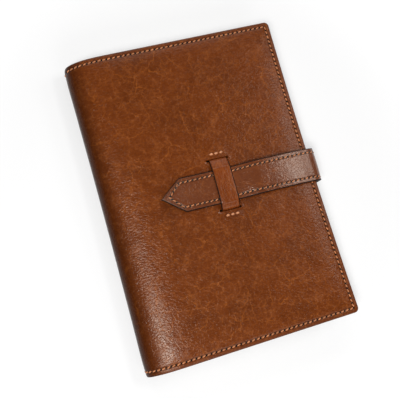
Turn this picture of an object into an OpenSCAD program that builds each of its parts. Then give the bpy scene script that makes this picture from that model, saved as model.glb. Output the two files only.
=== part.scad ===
// Leather planner: a leather cover with raised panels and a tuck strap, holding a bound refill of pages.
// It lies on its back cover, spine towards -X, fore-edge towards +X, top edge towards +Y.
// The origin is the middle of the underside.

/* [Refill] */
// Width of the pages
page_w = 130; // [110:1:150]
// Height of the pages
page_h = 210; // [170:1:240]
// Thickness of the whole page block
block_t = 12.5; // [8:0.5:18]
// Thickness of the refill's card covers
card_t = 0.7; // [0.4:0.1:1]
// Thickness of the cloth tape on the refill's spine
tape_t = 0.3; // [0.2:0.05:0.5]

/* [Cover] */
// Thickness of the outer leather
leather_t = 1.6; // [1.2:0.1:2]
// Thickness of the boards under the leather
board_t = 1.5; // [1.2:0.1:2]
// Thickness of the lining
lining_t = 0.6; // [0.4:0.1:1]
// Thickness of the two inside sleeves that hold the refill
sleeve_t = 0.8; // [0.6:0.1:1.2]
// Width of the two inside sleeves
sleeve_w = 66; // [40:1:90]
// Distance of the front board from the spine's outermost line
front_board_x = 30; // [28:1:50]
// Distance of the back board from the spine's outermost line
back_board_x = 9; // [8:1:20]
// Cover beyond the pages at the top and at the bottom
overhang_y = 5; // [4:0.5:9]
// Cover beyond the pages at the fore-edge
overhang_x = 5.5; // [5:0.5:9]
// Radius of the two corners at the fore-edge
corner_r = 3; // [1:0.5:5]

/* [Spine] */
// Room between the refill's spine and the cover's spine
spine_room = 17.5; // [16:0.5:24]
// Run of the front cover's slope down to the spine
spine_run = 38; // [34:1:46]
// Height of the outermost line of the spine above the table
spine_z = 6.5; // [5.5:0.1:7]
// How square the spine's upper curve is, where 2 is an ellipse
squareness = 2.5; // [2.2:0.1:2.8]

/* [Raised panel] */
// Width of the pressed margin around the panel
margin_w = 5; // [4.8:0.1:7]
// Width of the slope between the margin and the panel
slope_w = 7; // [4:0.5:9]
// Drop of the worn outer edge
edge_drop = 0.9; // [0.3:0.1:1.1]
// Width of the worn outer edge
edge_w = 2.2; // [1:0.1:2.6]

/* [Stitching] */
// Thickness of the thread
thread_d = 0.8; // [0.5:0.1:1]
// Length of one stitch
stitch_l = 2.5; // [2:0.1:2.8]
// Distance from one stitch to the next
stitch_pitch = 3.5; // [3.2:0.1:4.5]
// Distance of the seam from the edge
seam_inset = 3.5; // [3.4:0.1:4.2]
// Slant of each stitch to its seam
stitch_slant = 12; // [0:1:25]

/* [Strap] */
// Width of the strap at the fore-edge
strap_root_w = 24.2; // [16:0.2:26]
// Width of the strap at the start of its point
strap_tip_w = 22.8; // [14:0.2:25]
// Distance of the strap's tip from the spine
strap_tip_x = 41; // [30:1:60]
// Length of the strap's point
strap_point_l = 15; // [8:1:20]
// Rise of the strap's free tip
strap_tip_rise = 2.5; // [0:0.5:5]
// Thickness of the strap's face leather
strap_face_t = 1.4; // [1:0.1:1.8]
// Thickness of the strap's lining leather
strap_lining_t = 0.8; // [0.5:0.1:1]
// Inner radius of the strap's bend over the fore-edge
strap_bend_r = 5; // [4.5:0.1:6]
// Distance of the strap's seams from its edges
strap_seam_inset = 3.4; // [2.5:0.1:5]
// Shift of the strap's root below the middle of the cover
strap_shift = 2.8; // [0:0.1:8]
// Slant of the strap to the cover
strap_skew = 1.2; // [0:0.1:2]
// Thickness of the tongue
tongue_t = 0.6; // [0.4:0.1:0.8]

/* [Keeper] */
// Width of the keeper
keeper_w = 13.2; // [8:0.2:20]
// Distance between the two slits that the keeper passes through
keeper_span = 35.2; // [34:0.2:44]
// Thickness of the keeper
keeper_t = 1.2; // [0.8:0.1:1.2]
// Distance of the keeper's middle from the spine
keeper_x = 85.4; // [70:0.2:110]
// Height of the keeper's middle above the middle of the cover
keeper_y = 0.6; // [-2:0.1:3]
// Length of the slits
slit_l = 16.6; // [14:0.2:24]
// Length of the keeper's ends under the leather
keeper_tab_l = 8; // [6:0.5:12]
// Distance of the keeper's stitches from the slits
keeper_seam = 4.2; // [3:0.1:5]

/* [Hidden] */

// Clearances
page_gap = 0.05;
fold_gap = 0.1;
fit_gap = 0.1;
strap_gap = 0.3;
strap_edge_gap = 1.1;
keeper_gap = 0.1;
card_hinge = 4;
thread_gap = 0.02;
board_gap = 1;

// How far a strip of strap is drawn beyond the outline that cuts it
cut_over = 1;

// Thickness of the keeper's heavier thread
keeper_thread_d = 1.5 * thread_d;

// Sides of a thread and of a round corner, and halvings in a search for an angle
thread_sides = 8;
corner_sides = 32;
halvings = 30;

// Steps along the curves of the spine and of the strap's bend
curve_steps = 24;
bend_steps = 10;

// Whole sizes that follow from the refill
cover_w = spine_room + page_w + overhang_x;
cover_h = page_h + 2 * overhang_y;
stack_t = leather_t + board_t + lining_t + card_t + sleeve_t;
block_z = stack_t + page_gap;
cover_t = 2 * block_z + block_t;
upper_rise = cover_t - spine_z;

// Angles on the two spine curves at which the leather folds
lower_fold_a = 40;
upper_fold_a = 40;

// Levels of the layers, measured in from the outside of either cover
margin_in = board_t;
lining_in = leather_t + board_t;
card_in = lining_in + lining_t;
sleeve_in = card_in + card_t;
slope_in = margin_w + slope_w;

// Room that the strap's slant needs beside the cover's straight edges
foot_gap = fit_gap + strap_root_w / 2 * sin(strap_skew);

// Inset of the boards from the edges of the cover, and the tongue that the strap has in that margin
board_edge = margin_w + board_gap;
tongue_l = board_edge - foot_gap;

// Leather colours
leather_c = [0.45, 0.23, 0.12];
strap_c = [0.47, 0.26, 0.16];
inner_c = [0.36, 0.21, 0.13];
thread_c = [0.8, 0.53, 0.37];
board_c = [0.55, 0.52, 0.48];
paper_c = [0.95, 0.93, 0.87];
card_c = [0.16, 0.16, 0.17];

// Point on the upper spine curve at angle a, moved inwards by d
function upper_curve(a, d) =
    let (u = pow(cos(a), 2 / squareness), v = pow(sin(a), 2 / squareness),
        n = [-pow(u, squareness - 1) / spine_run, pow(v, squareness - 1) / upper_rise])
    [spine_run * (1 - u), spine_z + upper_rise * v] - d * n / norm(n);

// Point on the lower spine curve at angle a, moved inwards by d
function lower_curve(a, d) = [spine_z, spine_z] - (spine_z - d) * [cos(a), sin(a)];

// Angle between lo and hi at which the upper curve, moved inwards by d, reaches height z
function upper_angle(z, d, lo = 0, hi = 90, n = halvings) =
    n < 1 ? lo :
    let (mid = (lo + hi) / 2)
    upper_curve(mid, d)[1] < z ? upper_angle(z, d, mid, hi, n - 1) : upper_angle(z, d, lo, mid, n - 1);

// Stretch of either curve from angle a to angle b
function upper_arc(a, b, d) = [for (i = [0:curve_steps]) upper_curve(a + (b - a) * i / curve_steps, d)];
function lower_arc(a, b, d) = [for (i = [0:curve_steps]) lower_curve(a + (b - a) * i / curve_steps, d)];

// Angle at which the lower curve, moved inwards by d, reaches height z
function lower_angle(z, d) = asin((spine_z - z) / (spine_z - d));

// Length of one degree of each curve at its fold
half_degree = 0.5;
upper_degree = norm(upper_curve(upper_fold_a + half_degree, 0) - upper_curve(upper_fold_a - half_degree, 0));
lower_degree = norm(lower_curve(lower_fold_a + half_degree, 0) - lower_curve(lower_fold_a - half_degree, 0));

// Half the fold gap as an angle on each curve
upper_fold_da = fold_gap / 2 / upper_degree;
lower_fold_da = fold_gap / 2 / lower_degree;

// Vector helpers and a strip of thickness t on the left of a path
function unit(v) = v / norm(v);
function left(v) = [-v[1], v[0]];
function reversed(p) = [for (i = [len(p) - 1:-1:0]) p[i]];
function side_point(p, i, t) =
    let (a = i == 0 ? unit(p[1] - p[0]) : unit(p[i] - p[i - 1]),
        b = i == len(p) - 1 ? a : unit(p[i + 1] - p[i]),
        m = unit(left(a) + left(b)))
    p[i] + m * t / (m * left(a));
function side_path(p, t) = [for (i = [0:len(p) - 1]) side_point(p, i, t)];
function strip(p, near, far) = concat(side_path(p, near), reversed(side_path(p, far)));
function arc(c, r, a, b) = [for (i = [0:bend_steps])
    c + r * [cos(a + (b - a) * i / bend_steps), sin(a + (b - a) * i / bend_steps)]];

// Length along a path, and the point at a given length
function run_lengths(p) = [for (i = 0, s = 0; i < len(p);
    i = i + 1, s = i < len(p) ? s + norm(p[i] - p[i - 1]) : s) s];
function point_at(p, s) =
    let (l = run_lengths(p))
    [lookup(s, [for (i = [0:len(p) - 1]) [l[i], p[i][0]]]),
        lookup(s, [for (i = [0:len(p) - 1]) [l[i], p[i][1]]])];
function total_length(p) = run_lengths(p)[len(p) - 1];

// Moves what is drawn from the spine's outermost line to the middle of the cover
module from_spine() {
    translate([-cover_w / 2, 0, 0]) children();
}

// Turns an outline drawn in X and Z into a solid of height h along Y
module along_y(h) {
    translate([0, h / 2, 0]) rotate([90, 0, 0]) linear_extrude(height = h) children();
}

// Turns an outline drawn in Y and Z into a solid from x0 to x1
module along_x(x0, x1) {
    translate([x0, 0, 0]) rotate([90, 0, 90]) linear_extrude(height = x1 - x0) children();
}

// Plan of the cover, set in by inset, with rounded corners at the fore-edge
module cover_plan(x0, inset) {
    x1 = cover_w - inset;
    y1 = cover_h / 2 - inset;
    r = corner_r - inset;
    linear_extrude(height = cover_t) {
        translate([x0, -y1]) square([x1 - r - x0, 2 * y1]);
        translate([x0, -y1 + r]) square([x1 - x0, 2 * (y1 - r)]);
        for (side = [-1, 1]) translate([x1 - r, side * (y1 - r)]) circle(r = r, $fn = corner_sides);
    }
}

// Outside of the cover from the spine to the fore-edge, measured in from the outside at z = 0
function panel_path(x0, in) = [[x0, in], [cover_w - slope_in, in], [cover_w - margin_w, in + margin_in]];
function edge_path() = [[cover_w - edge_w, margin_in], [cover_w, margin_in + edge_drop]];
function from_top(p) = [for (q = p) [q[0], cover_t - q[1]]];

// The same across the cover, from the bottom edge to the top edge
function across(in) =
    let (y = cover_h / 2)
    [[-y + margin_w, in + margin_in], [-y + slope_in, in], [y - slope_in, in], [y - margin_w, in + margin_in]];
function across_edges(in) =
    let (y = cover_h / 2)
    concat([[-y, in + margin_in + edge_drop], [-y + edge_w, in + margin_in]], across(in),
        [[y - edge_w, in + margin_in], [y, in + margin_in + edge_drop]]);

// Hollow under the leather in which a board lies, for the top cover at rest
module front_hollow(grow) {
    a = upper_angle(cover_t - lining_in, leather_t);
    intersection() {
        along_y(cover_h) polygon(concat(upper_arc(a, 90, leather_t + grow),
            from_top(panel_path(spine_run, leather_t + grow))));
        along_x(0, cover_w) polygon(from_top(across(leather_t + grow)));
    }
}

module back_hollow(grow) {
    intersection() {
        along_y(cover_h) polygon(concat(lower_arc(lower_angle(lining_in, leather_t), 90, leather_t + grow),
            panel_path(spine_z, leather_t + grow)));
        along_x(0, cover_w) polygon(across(leather_t + grow));
    }
}

// Frame of the keeper: its middle, turned square to the strap
module at_keeper() {
    translate([keeper_x, keeper_y, 0]) rotate([0, 0, -strap_skew]) children();
}

// Frame of the strap: its root at the fore-edge
module at_strap() {
    translate([cover_w, -strap_shift, 0]) rotate([0, 0, -strap_skew]) children();
}

// The two slits in the front leather
module slits() {
    for (side = [-1, 1])
        at_keeper() translate([-slit_l / 2, side * (keeper_span + keeper_t) / 2 - keeper_t / 2 - fit_gap, 0])
            cube([slit_l, keeper_t + 2 * fit_gap, 2 * cover_t]);
}

module front_leather() {
    low = upper_angle(cover_t - lining_in, leather_t);
    start = upper_fold_a + upper_fold_da;
    color(leather_c) from_spine() difference() {
        intersection() {
            along_y(cover_h) polygon(concat(upper_arc(start, 90, 0),
                from_top(panel_path(spine_run + fit_gap, 0)), from_top(edge_path()),
                [[cover_w, cover_t - lining_in]], upper_arc(low, start, leather_t)));
            along_x(0, cover_w)
                polygon(concat([[-cover_h / 2, 0]], from_top(across_edges(0)), [[cover_h / 2, 0]]));
            cover_plan(0, 0);
        }
        front_hollow(0);
        slits();
    }
}

// Beds in the front board for the keeper's two ends
module keeper_beds() {
    for (side = [-1, 1])
        at_keeper() translate([0, side * (keeper_span / 2 + keeper_tab_l / 2), cover_t - leather_t])
            cube([slit_l, keeper_tab_l + 2 * fit_gap, 2 * (keeper_t + fit_gap)], center = true);
}

module front_board() {
    color(board_c) from_spine() difference() {
        intersection() {
            front_hollow(page_gap);
            translate([front_board_x, -cover_h / 2 + board_edge, cover_t - lining_in])
                cube([cover_w - board_edge - front_board_x, cover_h - 2 * board_edge, cover_t]);
        }
        keeper_beds();
    }
}

module front_lining() {
    start = upper_fold_a + upper_fold_da;
    far = leather_t + lining_t;
    end = upper_angle(cover_t - card_in, far);
    color(inner_c) from_spine() intersection() {
        along_y(cover_h - 2 * fit_gap) polygon(concat(
            upper_arc(start, upper_angle(cover_t - lining_in, leather_t), leather_t),
            [[cover_w - fit_gap, cover_t - lining_in], [cover_w - fit_gap, cover_t - card_in]],
            upper_arc(end, start, far)));
        cover_plan(0, fit_gap);
    }
}

// Inside sleeve of either cover, drawn for the back cover: sewn margin, and a raised middle over the card
module sleeve() {
    rim = seam_inset + thread_d / 2;
    intersection() {
        cover_plan(cover_w - sleeve_w, fit_gap);
        difference() {
            translate([0, 0, card_in]) linear_extrude(height = card_t + sleeve_t)
                translate([cover_w - sleeve_w, -cover_h / 2]) square([sleeve_w, cover_h]);
            // room for the refill's card
            translate([0, -cover_h / 2 + rim, 0]) cube([cover_w - rim, cover_h - 2 * rim, sleeve_in]);
            // pressed margin
            difference() {
                translate([0, -cover_h / 2, card_in + sleeve_t]) cube([cover_w, cover_h, cover_t]);
                translate([0, -cover_h / 2 + rim - sleeve_t, 0])
                    cube([cover_w - rim + sleeve_t, cover_h - 2 * (rim - sleeve_t), cover_t]);
            }
        }
    }
}

module front_sleeve() {
    color(inner_c) from_spine() translate([0, 0, cover_t]) mirror([0, 0, 1]) sleeve();
}

module back_sleeve() {
    color(inner_c) from_spine() sleeve();
}

// Slot in the back cover's margin for the strap's tongue
module tongue_slot() {
    at_strap() translate([-tongue_l - fit_gap, -strap_root_w / 2, lining_in - tongue_t - page_gap])
        cube([2 * tongue_l, strap_root_w, tongue_t + page_gap]);
}

module back_leather() {
    start = lower_fold_a + lower_fold_da;
    color(leather_c) from_spine() difference() {
        intersection() {
            along_y(cover_h) polygon(concat(lower_arc(start, 90, 0), panel_path(spine_z + fit_gap, 0),
                edge_path(), [[cover_w, lining_in]],
                lower_arc(max(start, lower_angle(lining_in, leather_t)), start, leather_t)));
            along_x(0, cover_w)
                polygon(concat(across_edges(0), [[cover_h / 2, cover_t], [-cover_h / 2, cover_t]]));
            cover_plan(0, 0);
        }
        back_hollow(0);
        tongue_slot();
    }
}

module back_board() {
    color(board_c) from_spine() intersection() {
        back_hollow(page_gap);
        translate([back_board_x, -cover_h / 2 + board_edge, 0])
            cube([cover_w - board_edge - back_board_x, cover_h - 2 * board_edge, lining_in]);
    }
}

module back_lining() {
    start = lower_fold_a + lower_fold_da;
    far = leather_t + lining_t;
    color(inner_c) from_spine() intersection() {
        along_y(cover_h - 2 * fit_gap) polygon(concat(
            lower_arc(start, max(start, lower_angle(lining_in, leather_t)), leather_t),
            [[cover_w - fit_gap, lining_in], [cover_w - fit_gap, card_in]],
            lower_arc(max(start, lower_angle(card_in, far)), start, far)));
        cover_plan(0, fit_gap);
    }
}

// Spine section between two depths below its outside
module spine_section(near, far, h) {
    low = lower_fold_a - lower_fold_da;
    high = upper_fold_a - upper_fold_da;
    along_y(h) polygon(concat(lower_arc(low, 0, near), upper_arc(0, high, near),
        upper_arc(high, 0, far), lower_arc(0, low, far)));
}

module spine_leather() {
    color(leather_c) from_spine() spine_section(0, leather_t, cover_h);
}

module spine_lining() {
    color(inner_c) from_spine() spine_section(leather_t, leather_t + lining_t, cover_h - 2 * fit_gap);
}

// One stitch, lying along X on a flat side of its thread, at z = 0
module stitch(d = thread_d, slant = stitch_slant) {
    half_side = 180 / thread_sides;
    translate([0, 0, d / 2 * cos(half_side) + thread_gap]) rotate([0, 0, slant]) rotate([0, 90, 0])
        rotate([0, 0, half_side]) cylinder(h = stitch_l, d = d, center = true, $fn = thread_sides);
}

// Stitches along a path in X and Z at a given y, on its left side
module stitch_row(path, y) {
    total = total_length(path);
    count = floor(total / stitch_pitch);
    for (i = [0:count - 1]) {
        s = (i + 0.5) * total / count;
        p = point_at(path, s);
        q = point_at(path, s + thread_d) - point_at(path, s - thread_d);
        translate([p[0], y, p[1]]) rotate([0, -atan2(q[1], q[0]), 0]) stitch();
    }
}

// Stitches along Y at a given x and z, facing up
module stitch_column(x, z) {
    total = cover_h - 2 * (seam_inset + stitch_pitch);
    count = floor(total / stitch_pitch);
    for (i = [0:count - 1])
        translate([x, -total / 2 + (i + 0.5) * total / count, z]) rotate([0, 0, 90]) stitch();
}

// Where the seams at the two ends of the covers run
seam_y = cover_h / 2 - seam_inset;
seam_clear = stitch_l;
function upper_seam() =
    let (end = upper_angle(cover_t - margin_in, 0))
    concat(upper_arc(upper_fold_a, end, 0), [[cover_w - seam_clear, cover_t - margin_in]]);
function spine_seam() = concat(lower_arc(lower_fold_a, 0, 0), upper_arc(0, upper_fold_a, 0));

module front_stitches() {
    color(thread_c) from_spine() {
        for (side = [-1, 1]) stitch_row(upper_seam(), side * seam_y);
        stitch_column(cover_w - seam_inset, cover_t - margin_in);
    }
}

module back_stitches() {
    color(thread_c) from_spine() {
        for (side = [-1, 1])
            stitch_row([[cover_w - seam_clear, margin_in], [spine_z, margin_in]], side * seam_y);
        translate([0, 0, margin_in]) mirror([0, 0, 1]) stitch_column(cover_w - seam_inset, 0);
    }
}

module spine_stitches() {
    color(thread_c) from_spine() for (side = [-1, 1]) stitch_row(spine_seam(), side * seam_y);
}

// Levels of the strap over the front cover
strap_t = strap_face_t + strap_lining_t;
strap_z = cover_t + strap_gap;
strap_len = cover_w - strap_tip_x;
strap_rise_x = cover_w - keeper_x + keeper_w;

// Inner line of the strap in its own frame: up the fore-edge to the fold, over it, and along the front cover
bend_c = [strap_edge_gap - strap_bend_r, strap_z - strap_bend_r];
function strap_lift(x) = strap_tip_rise * pow(max(0, (-x - strap_rise_x) / (strap_len - strap_rise_x)), 2);
function strap_run() =
    let (flat_l = strap_len + cut_over - strap_rise_x)
    concat(arc(bend_c, strap_bend_r, 0, 90), [for (i = [0:curve_steps])
        let (x = -strap_rise_x - flat_l * i / curve_steps) [x, strap_z + strap_lift(x)]]);
function strap_rise(z0) = [[strap_edge_gap, z0], [strap_edge_gap, bend_c[1] - fold_gap]];

// The strap's outline from above, in its own frame
module strap_plan() {
    shoulder = strap_len - strap_point_l;
    linear_extrude(height = 2 * cover_t) polygon([[-strap_len, 0], [-shoulder, -strap_tip_w / 2],
        [0, -strap_root_w / 2], [2 * strap_t, -strap_root_w / 2], [2 * strap_t, strap_root_w / 2],
        [0, strap_root_w / 2], [-shoulder, strap_tip_w / 2]]);
}

// Strap leather between two depths from its inner line
module strap_layer(path, near, far) {
    from_spine() at_strap() intersection() {
        along_y(2 * strap_root_w) polygon(strip(path, -near, -far));
        strap_plan();
    }
}

module strap_face() {
    color(strap_c) strap_layer(strap_run(), strap_lining_t, strap_t);
}

module strap_lining() {
    color(inner_c) strap_layer(strap_run(), 0, strap_lining_t);
}

// Foot of the strap's face: a curve from the seam up into the vertical part, clear of the slanted edge
foot_r = strap_edge_gap + strap_lining_t - foot_gap;
function strap_foot() = arc([foot_gap, lining_in + foot_r], foot_r, -90, 0);

module strap_root_face() {
    color(strap_c) {
        strap_layer(concat(side_path(strap_foot(), strap_lining_t), strap_rise(lining_in + 2 * foot_r)),
            strap_lining_t, strap_t);
        from_spine() at_strap() translate([-tongue_l, -strap_root_w / 2 + fit_gap, lining_in - tongue_t])
            cube([tongue_l + foot_gap + fit_gap, strap_root_w - 2 * fit_gap, tongue_t]);
    }
}

module strap_root_lining() {
    color(inner_c) strap_layer(strap_rise(lining_in + 2 * foot_r), 0, strap_lining_t);
}

// Stitches on the strap's face along both edges, following a path in X and Z
module strap_edge_rows(path) {
    outer = side_path(path, -strap_t);
    total = total_length(outer);
    count = floor(total / stitch_pitch);
    for (side = [-1, 1], i = [0:count - 1]) {
        s = (i + 0.5) * total / count;
        p = point_at(outer, s);
        q = point_at(outer, s + thread_d) - point_at(outer, s - thread_d);
        w = strap_root_w + (strap_tip_w - strap_root_w) * max(0, -p[0]) / (strap_len - strap_point_l);
        translate([p[0], side * (w / 2 - strap_seam_inset), p[1]])
            rotate([0, 180 - atan2(q[1], q[0]), 0]) stitch();
    }
}

// Stitches along the two slanted sides of the strap's point
module strap_point_rows() {
    from = [-strap_len + strap_point_l, strap_tip_w / 2];
    to = [-strap_len, 0];
    along = unit(to - from);
    total = norm(to - from) - 2 * strap_seam_inset;
    count = floor(total / stitch_pitch);
    for (side = [-1, 1], i = [0:count - 1]) {
        p = from + along * ((i + 0.5) * total / count + strap_seam_inset / 2) + left(along) * strap_seam_inset;
        z = strap_z + strap_lift(p[0]) + strap_t;
        slope = atan2(strap_lift(p[0] - 1) - strap_lift(p[0]), 1);
        translate([p[0], side * p[1], z]) rotate([0, slope, 0])
            rotate([0, 0, side * atan2(along[1], along[0])]) translate([0, 0, thread_d / 4]) stitch(slant = 0);
    }
}

module strap_stitches() {
    color(thread_c) from_spine() at_strap() {
        strap_edge_rows([for (p = strap_run()) if (p[0] > -strap_len + strap_point_l) p]);
        strap_point_rows();
    }
}

module strap_root_stitches() {
    color(thread_c) from_spine() at_strap() strap_edge_rows(strap_rise(lining_in + 2 * foot_r));
}

// Inner line of the keeper in Y and Z: end under the leather, slit, over the strap, slit, end
keeper_low = cover_t - leather_t - keeper_t;
keeper_top = strap_z + strap_t + thread_d + keeper_gap;
strap_at_keeper = -strap_shift + (cover_w - keeper_x) * sin(strap_skew) - keeper_y;
function keeper_path() =
    let (h = keeper_span / 2, w = strap_root_w / 2 + strap_gap, y = strap_at_keeper)
    [[-h - keeper_tab_l, keeper_low], [-h, keeper_low], [-h, cover_t],
        [max(-h + fit_gap, y - w), keeper_top], [y + w, keeper_top], [h, cover_t], [h, keeper_low],
        [h + keeper_tab_l, keeper_low]];

module keeper() {
    color(leather_c) from_spine() at_keeper() along_x(-keeper_w / 2, keeper_w / 2)
        polygon(strip(keeper_path(), 0, keeper_t));
}

module keeper_stitches() {
    color(thread_c) from_spine() at_keeper()
        for (side = [-1, 1], i = [-1:1])
            translate([i * stitch_pitch, side * (keeper_span / 2 + keeper_seam), cover_t])
                stitch(d = keeper_thread_d);
}

module page_block() {
    color(paper_c) from_spine() translate([spine_room, -page_h / 2, block_z]) cube([page_w, page_h, block_t]);
}

// Card covers of the refill, each in its sleeve
module refill_card(x0) {
    rim = seam_inset + thread_d / 2 + fit_gap;
    translate([x0, -page_h / 2 - page_gap, card_in + fit_gap / 2])
        cube([cover_w - rim - fit_gap - x0, page_h + 2 * page_gap, card_t - fit_gap]);
}

module refill_back_cover() {
    color(card_c) from_spine() refill_card(spine_room);
}

module refill_front_cover() {
    color(card_c) from_spine() translate([0, 0, cover_t]) mirror([0, 0, 1]) refill_card(spine_room + card_hinge);
}

module refill_spine_tape() {
    color(card_c) from_spine() translate([spine_room - tape_t, -page_h / 2, card_in + fit_gap])
        cube([tape_t, page_h, block_t + sleeve_t + card_t - fit_gap]);
}

back_leather();
back_board();
back_lining();
back_sleeve();
back_stitches();
spine_leather();
spine_lining();
spine_stitches();
front_leather();
front_board();
front_lining();
front_sleeve();
front_stitches();
keeper();
keeper_stitches();
strap_root_face();
strap_root_lining();
strap_root_stitches();
strap_face();
strap_lining();
strap_stitches();
page_block();
refill_back_cover();
refill_front_cover();
refill_spine_tape();
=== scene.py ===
"""Leather planner: a brown leather cover with a tuck strap and keeper, closed round a bound refill."""

import math

import bpy
import numpy as np
from bpy.props import FloatProperty, FloatVectorProperty, PointerProperty
from mathutils import Matrix, Vector, noise


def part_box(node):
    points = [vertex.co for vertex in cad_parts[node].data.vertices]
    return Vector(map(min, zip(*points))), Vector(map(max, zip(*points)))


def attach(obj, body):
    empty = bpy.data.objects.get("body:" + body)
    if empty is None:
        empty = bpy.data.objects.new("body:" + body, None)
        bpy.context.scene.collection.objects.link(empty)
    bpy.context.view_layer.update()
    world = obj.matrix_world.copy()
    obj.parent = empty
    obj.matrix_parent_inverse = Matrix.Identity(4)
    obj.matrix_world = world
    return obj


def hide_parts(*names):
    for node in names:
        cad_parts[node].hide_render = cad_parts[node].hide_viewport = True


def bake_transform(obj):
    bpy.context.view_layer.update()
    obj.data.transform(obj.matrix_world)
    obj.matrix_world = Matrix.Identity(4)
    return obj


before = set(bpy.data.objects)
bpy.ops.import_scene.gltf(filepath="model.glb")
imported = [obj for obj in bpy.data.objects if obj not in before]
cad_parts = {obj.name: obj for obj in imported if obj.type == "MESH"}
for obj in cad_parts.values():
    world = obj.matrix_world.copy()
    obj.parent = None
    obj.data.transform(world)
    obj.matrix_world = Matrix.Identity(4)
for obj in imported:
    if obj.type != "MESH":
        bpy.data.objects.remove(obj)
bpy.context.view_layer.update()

bl_info = {
    "name": "Leather planner",
    "version": (1, 0, 0),
    "blender": (4, 5, 0),
    "location": "View3D > Sidebar > Planner",
    "description": "Builds a strapped leather planner around its packed frame",
    "category": "Object",
}

MM = 0.001
# How far the lining and the sleeves end inside the outer leather's edge
LINING_INSET = 0.15 * MM
# Distance from a seam, in millimetres, that stands for no seam at all
NO_SEAM = 50.0

# Whole sizes of the closed cover, read from the frame
SPINE_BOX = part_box("spine_leather")
FRONT_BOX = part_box("front_leather")
STRAP_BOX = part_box("strap_face")
PAGES_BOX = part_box("page_block")
LEFT = SPINE_BOX[0][0]
COVER_W = FRONT_BOX[1][0] - LEFT
COVER_H = FRONT_BOX[1][1] - FRONT_BOX[0][1]
COVER_T = FRONT_BOX[1][2]


def length(name, text, default):
    """A size in millimetres, kept in metres."""
    return FloatProperty(name=name, description=text, default=default * MM, subtype="DISTANCE", unit="LENGTH")


def lean_angle(name, text, degrees):
    """An angle in degrees, kept in radians."""
    return FloatProperty(name=name, description=text, default=math.radians(degrees), subtype="ANGLE")


def shade(name, text, rgb):
    """A colour, given as the eye sees it (0 to 255) and kept linear."""
    linear = [(c / 255 / 12.92) if c < 11 else ((c / 255 + 0.055) / 1.055) ** 2.4 for c in rgb]
    return FloatVectorProperty(
        name=name, description=text, default=(*linear, 1.0), size=4, subtype="COLOR", min=0, max=1
    )


class PlannerCover(bpy.types.PropertyGroup):
    leather_t: length("Leather", "Thickness of the outer leather", 1.6)
    board_t: length("Board", "Thickness of the boards, and drop from the panel to its margin", 1.5)
    lining_t: length("Lining", "Thickness of the lining", 0.6)
    sleeve_t: length("Sleeve", "Thickness of the inside sleeves", 0.8)
    sleeve_w: length("Sleeve width", "Width of the inside sleeves", 66.0)
    card_t: length("Card", "Thickness of the refill's card covers", 0.7)
    slope_w: length("Slope", "Width over which the panel falls to its seam", 13.0)
    edge_w: length("Worn edge", "Width over which the edge falls away", 2.4)
    edge_drop: length("Worn edge drop", "How far the edge falls away", 0.5)
    corner_r: length("Corner", "Radius of the two fore-edge corners", 3.4)
    spine_run: length("Spine run", "Run of the front cover's slope down to the spine", 38.0)
    spine_z: length("Spine height", "Height of the spine's outermost line", 6.5)
    squareness: FloatProperty(
        name="Squareness", description="Squareness of the spine's upper curve", default=2.5
    )
    split_z: length("Split", "Height on the spine where the two halves of the leather meet", 10.0)
    fore_bow: length("Fore-edge bow", "How far the fore-edge is drawn in at its middle", 1.4)
    spine_bow: length("Spine bow", "How far the spine is drawn in at its middle", 0.86)
    wave: length("Wave", "Height of the slow waves in the leather", 0.16)


class PlannerSeam(bpy.types.PropertyGroup):
    inset: length("Inset", "Distance of the seam from the edge", 3.5)
    pitch: length("Pitch", "Distance from one stitch to the next", 3.5)
    stitch_l: length("Stitch", "Length of one stitch", 2.85)
    thread_d: length("Thread", "Thickness of the thread", 0.95)
    slant: lean_angle("Slant", "Slant of each stitch to its seam", 19)


class PlannerStrap(bpy.types.PropertyGroup):
    root_w: length("Root width", "Width at the fore-edge", 25.0)
    tip_w: length("Tip width", "Width at the start of the point", 23.6)
    point_l: length("Point", "Length of the point", 15.0)
    tip_x: length("Tip", "Distance of the tip from the spine", 39.6)
    tip_rise: length("Rise", "Rise of the free tip", 2.5)
    rise_x: length("Rise start", "Distance from the fore-edge at which the free tip starts to rise", 80.8)
    face_t: length("Face", "Thickness of the face leather", 1.4)
    lining_t: length("Lining", "Thickness of the strap's lining", 0.8)
    foot_r: length("Foot", "Inner radius of the turn at the strap's foot", 1.45)
    bend_h: length("Bend height", "Height of the bend over the fore-edge", 5.3)
    bend_r: length("Bend", "Inner radius of the bend", 4.2)
    ease: length("Ease", "Length over which the strap eases from its bend to the flat", 42.0)
    lean: lean_angle("Lean", "Slope of the strap over the fore-edge", 10.5)
    shoulder: lean_angle("Shoulder", "Further slope where its bend ends", 29)
    shoulder_l: length("Shoulder length", "Length over which the further slope dies away", 3.8)
    edge_gap: length("Edge gap", "Gap between the strap and the fore-edge", 1.5)
    gap: length("Gap", "Gap between the strap and the front cover", 0.3)
    shift: length("Shift", "How far the root sits below the middle", 2.3)
    seam_inset: length("Seam inset", "Distance of the seams from the strap's edges", 3.4)
    skew: lean_angle("Skew", "Slant of the strap to the cover", -1.2)


class PlannerKeeper(bpy.types.PropertyGroup):
    width: length("Width", "Width of the keeper", 13.2)
    span: length("Span", "Distance between the two slits", 34.4)
    thickness: length("Thickness", "Thickness of the keeper", 1.2)
    place_x: length("Place", "Distance of the keeper's middle from the spine", 85.4)
    place_y: length("Height", "Height of its middle above the cover's middle", 0.6)
    slit_l: length("Slit", "Length of the slits", 15.4)
    slit_w: length("Slit width", "Width of the slits", 0.8)
    seam: length("Seam", "Distance of its stitches from the slits", 4.2)
    stitch_l: length("Stitch", "Length of one of its stitches", 2.7)
    thread_d: length("Thread", "Thickness of its thread", 1.5)


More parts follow.
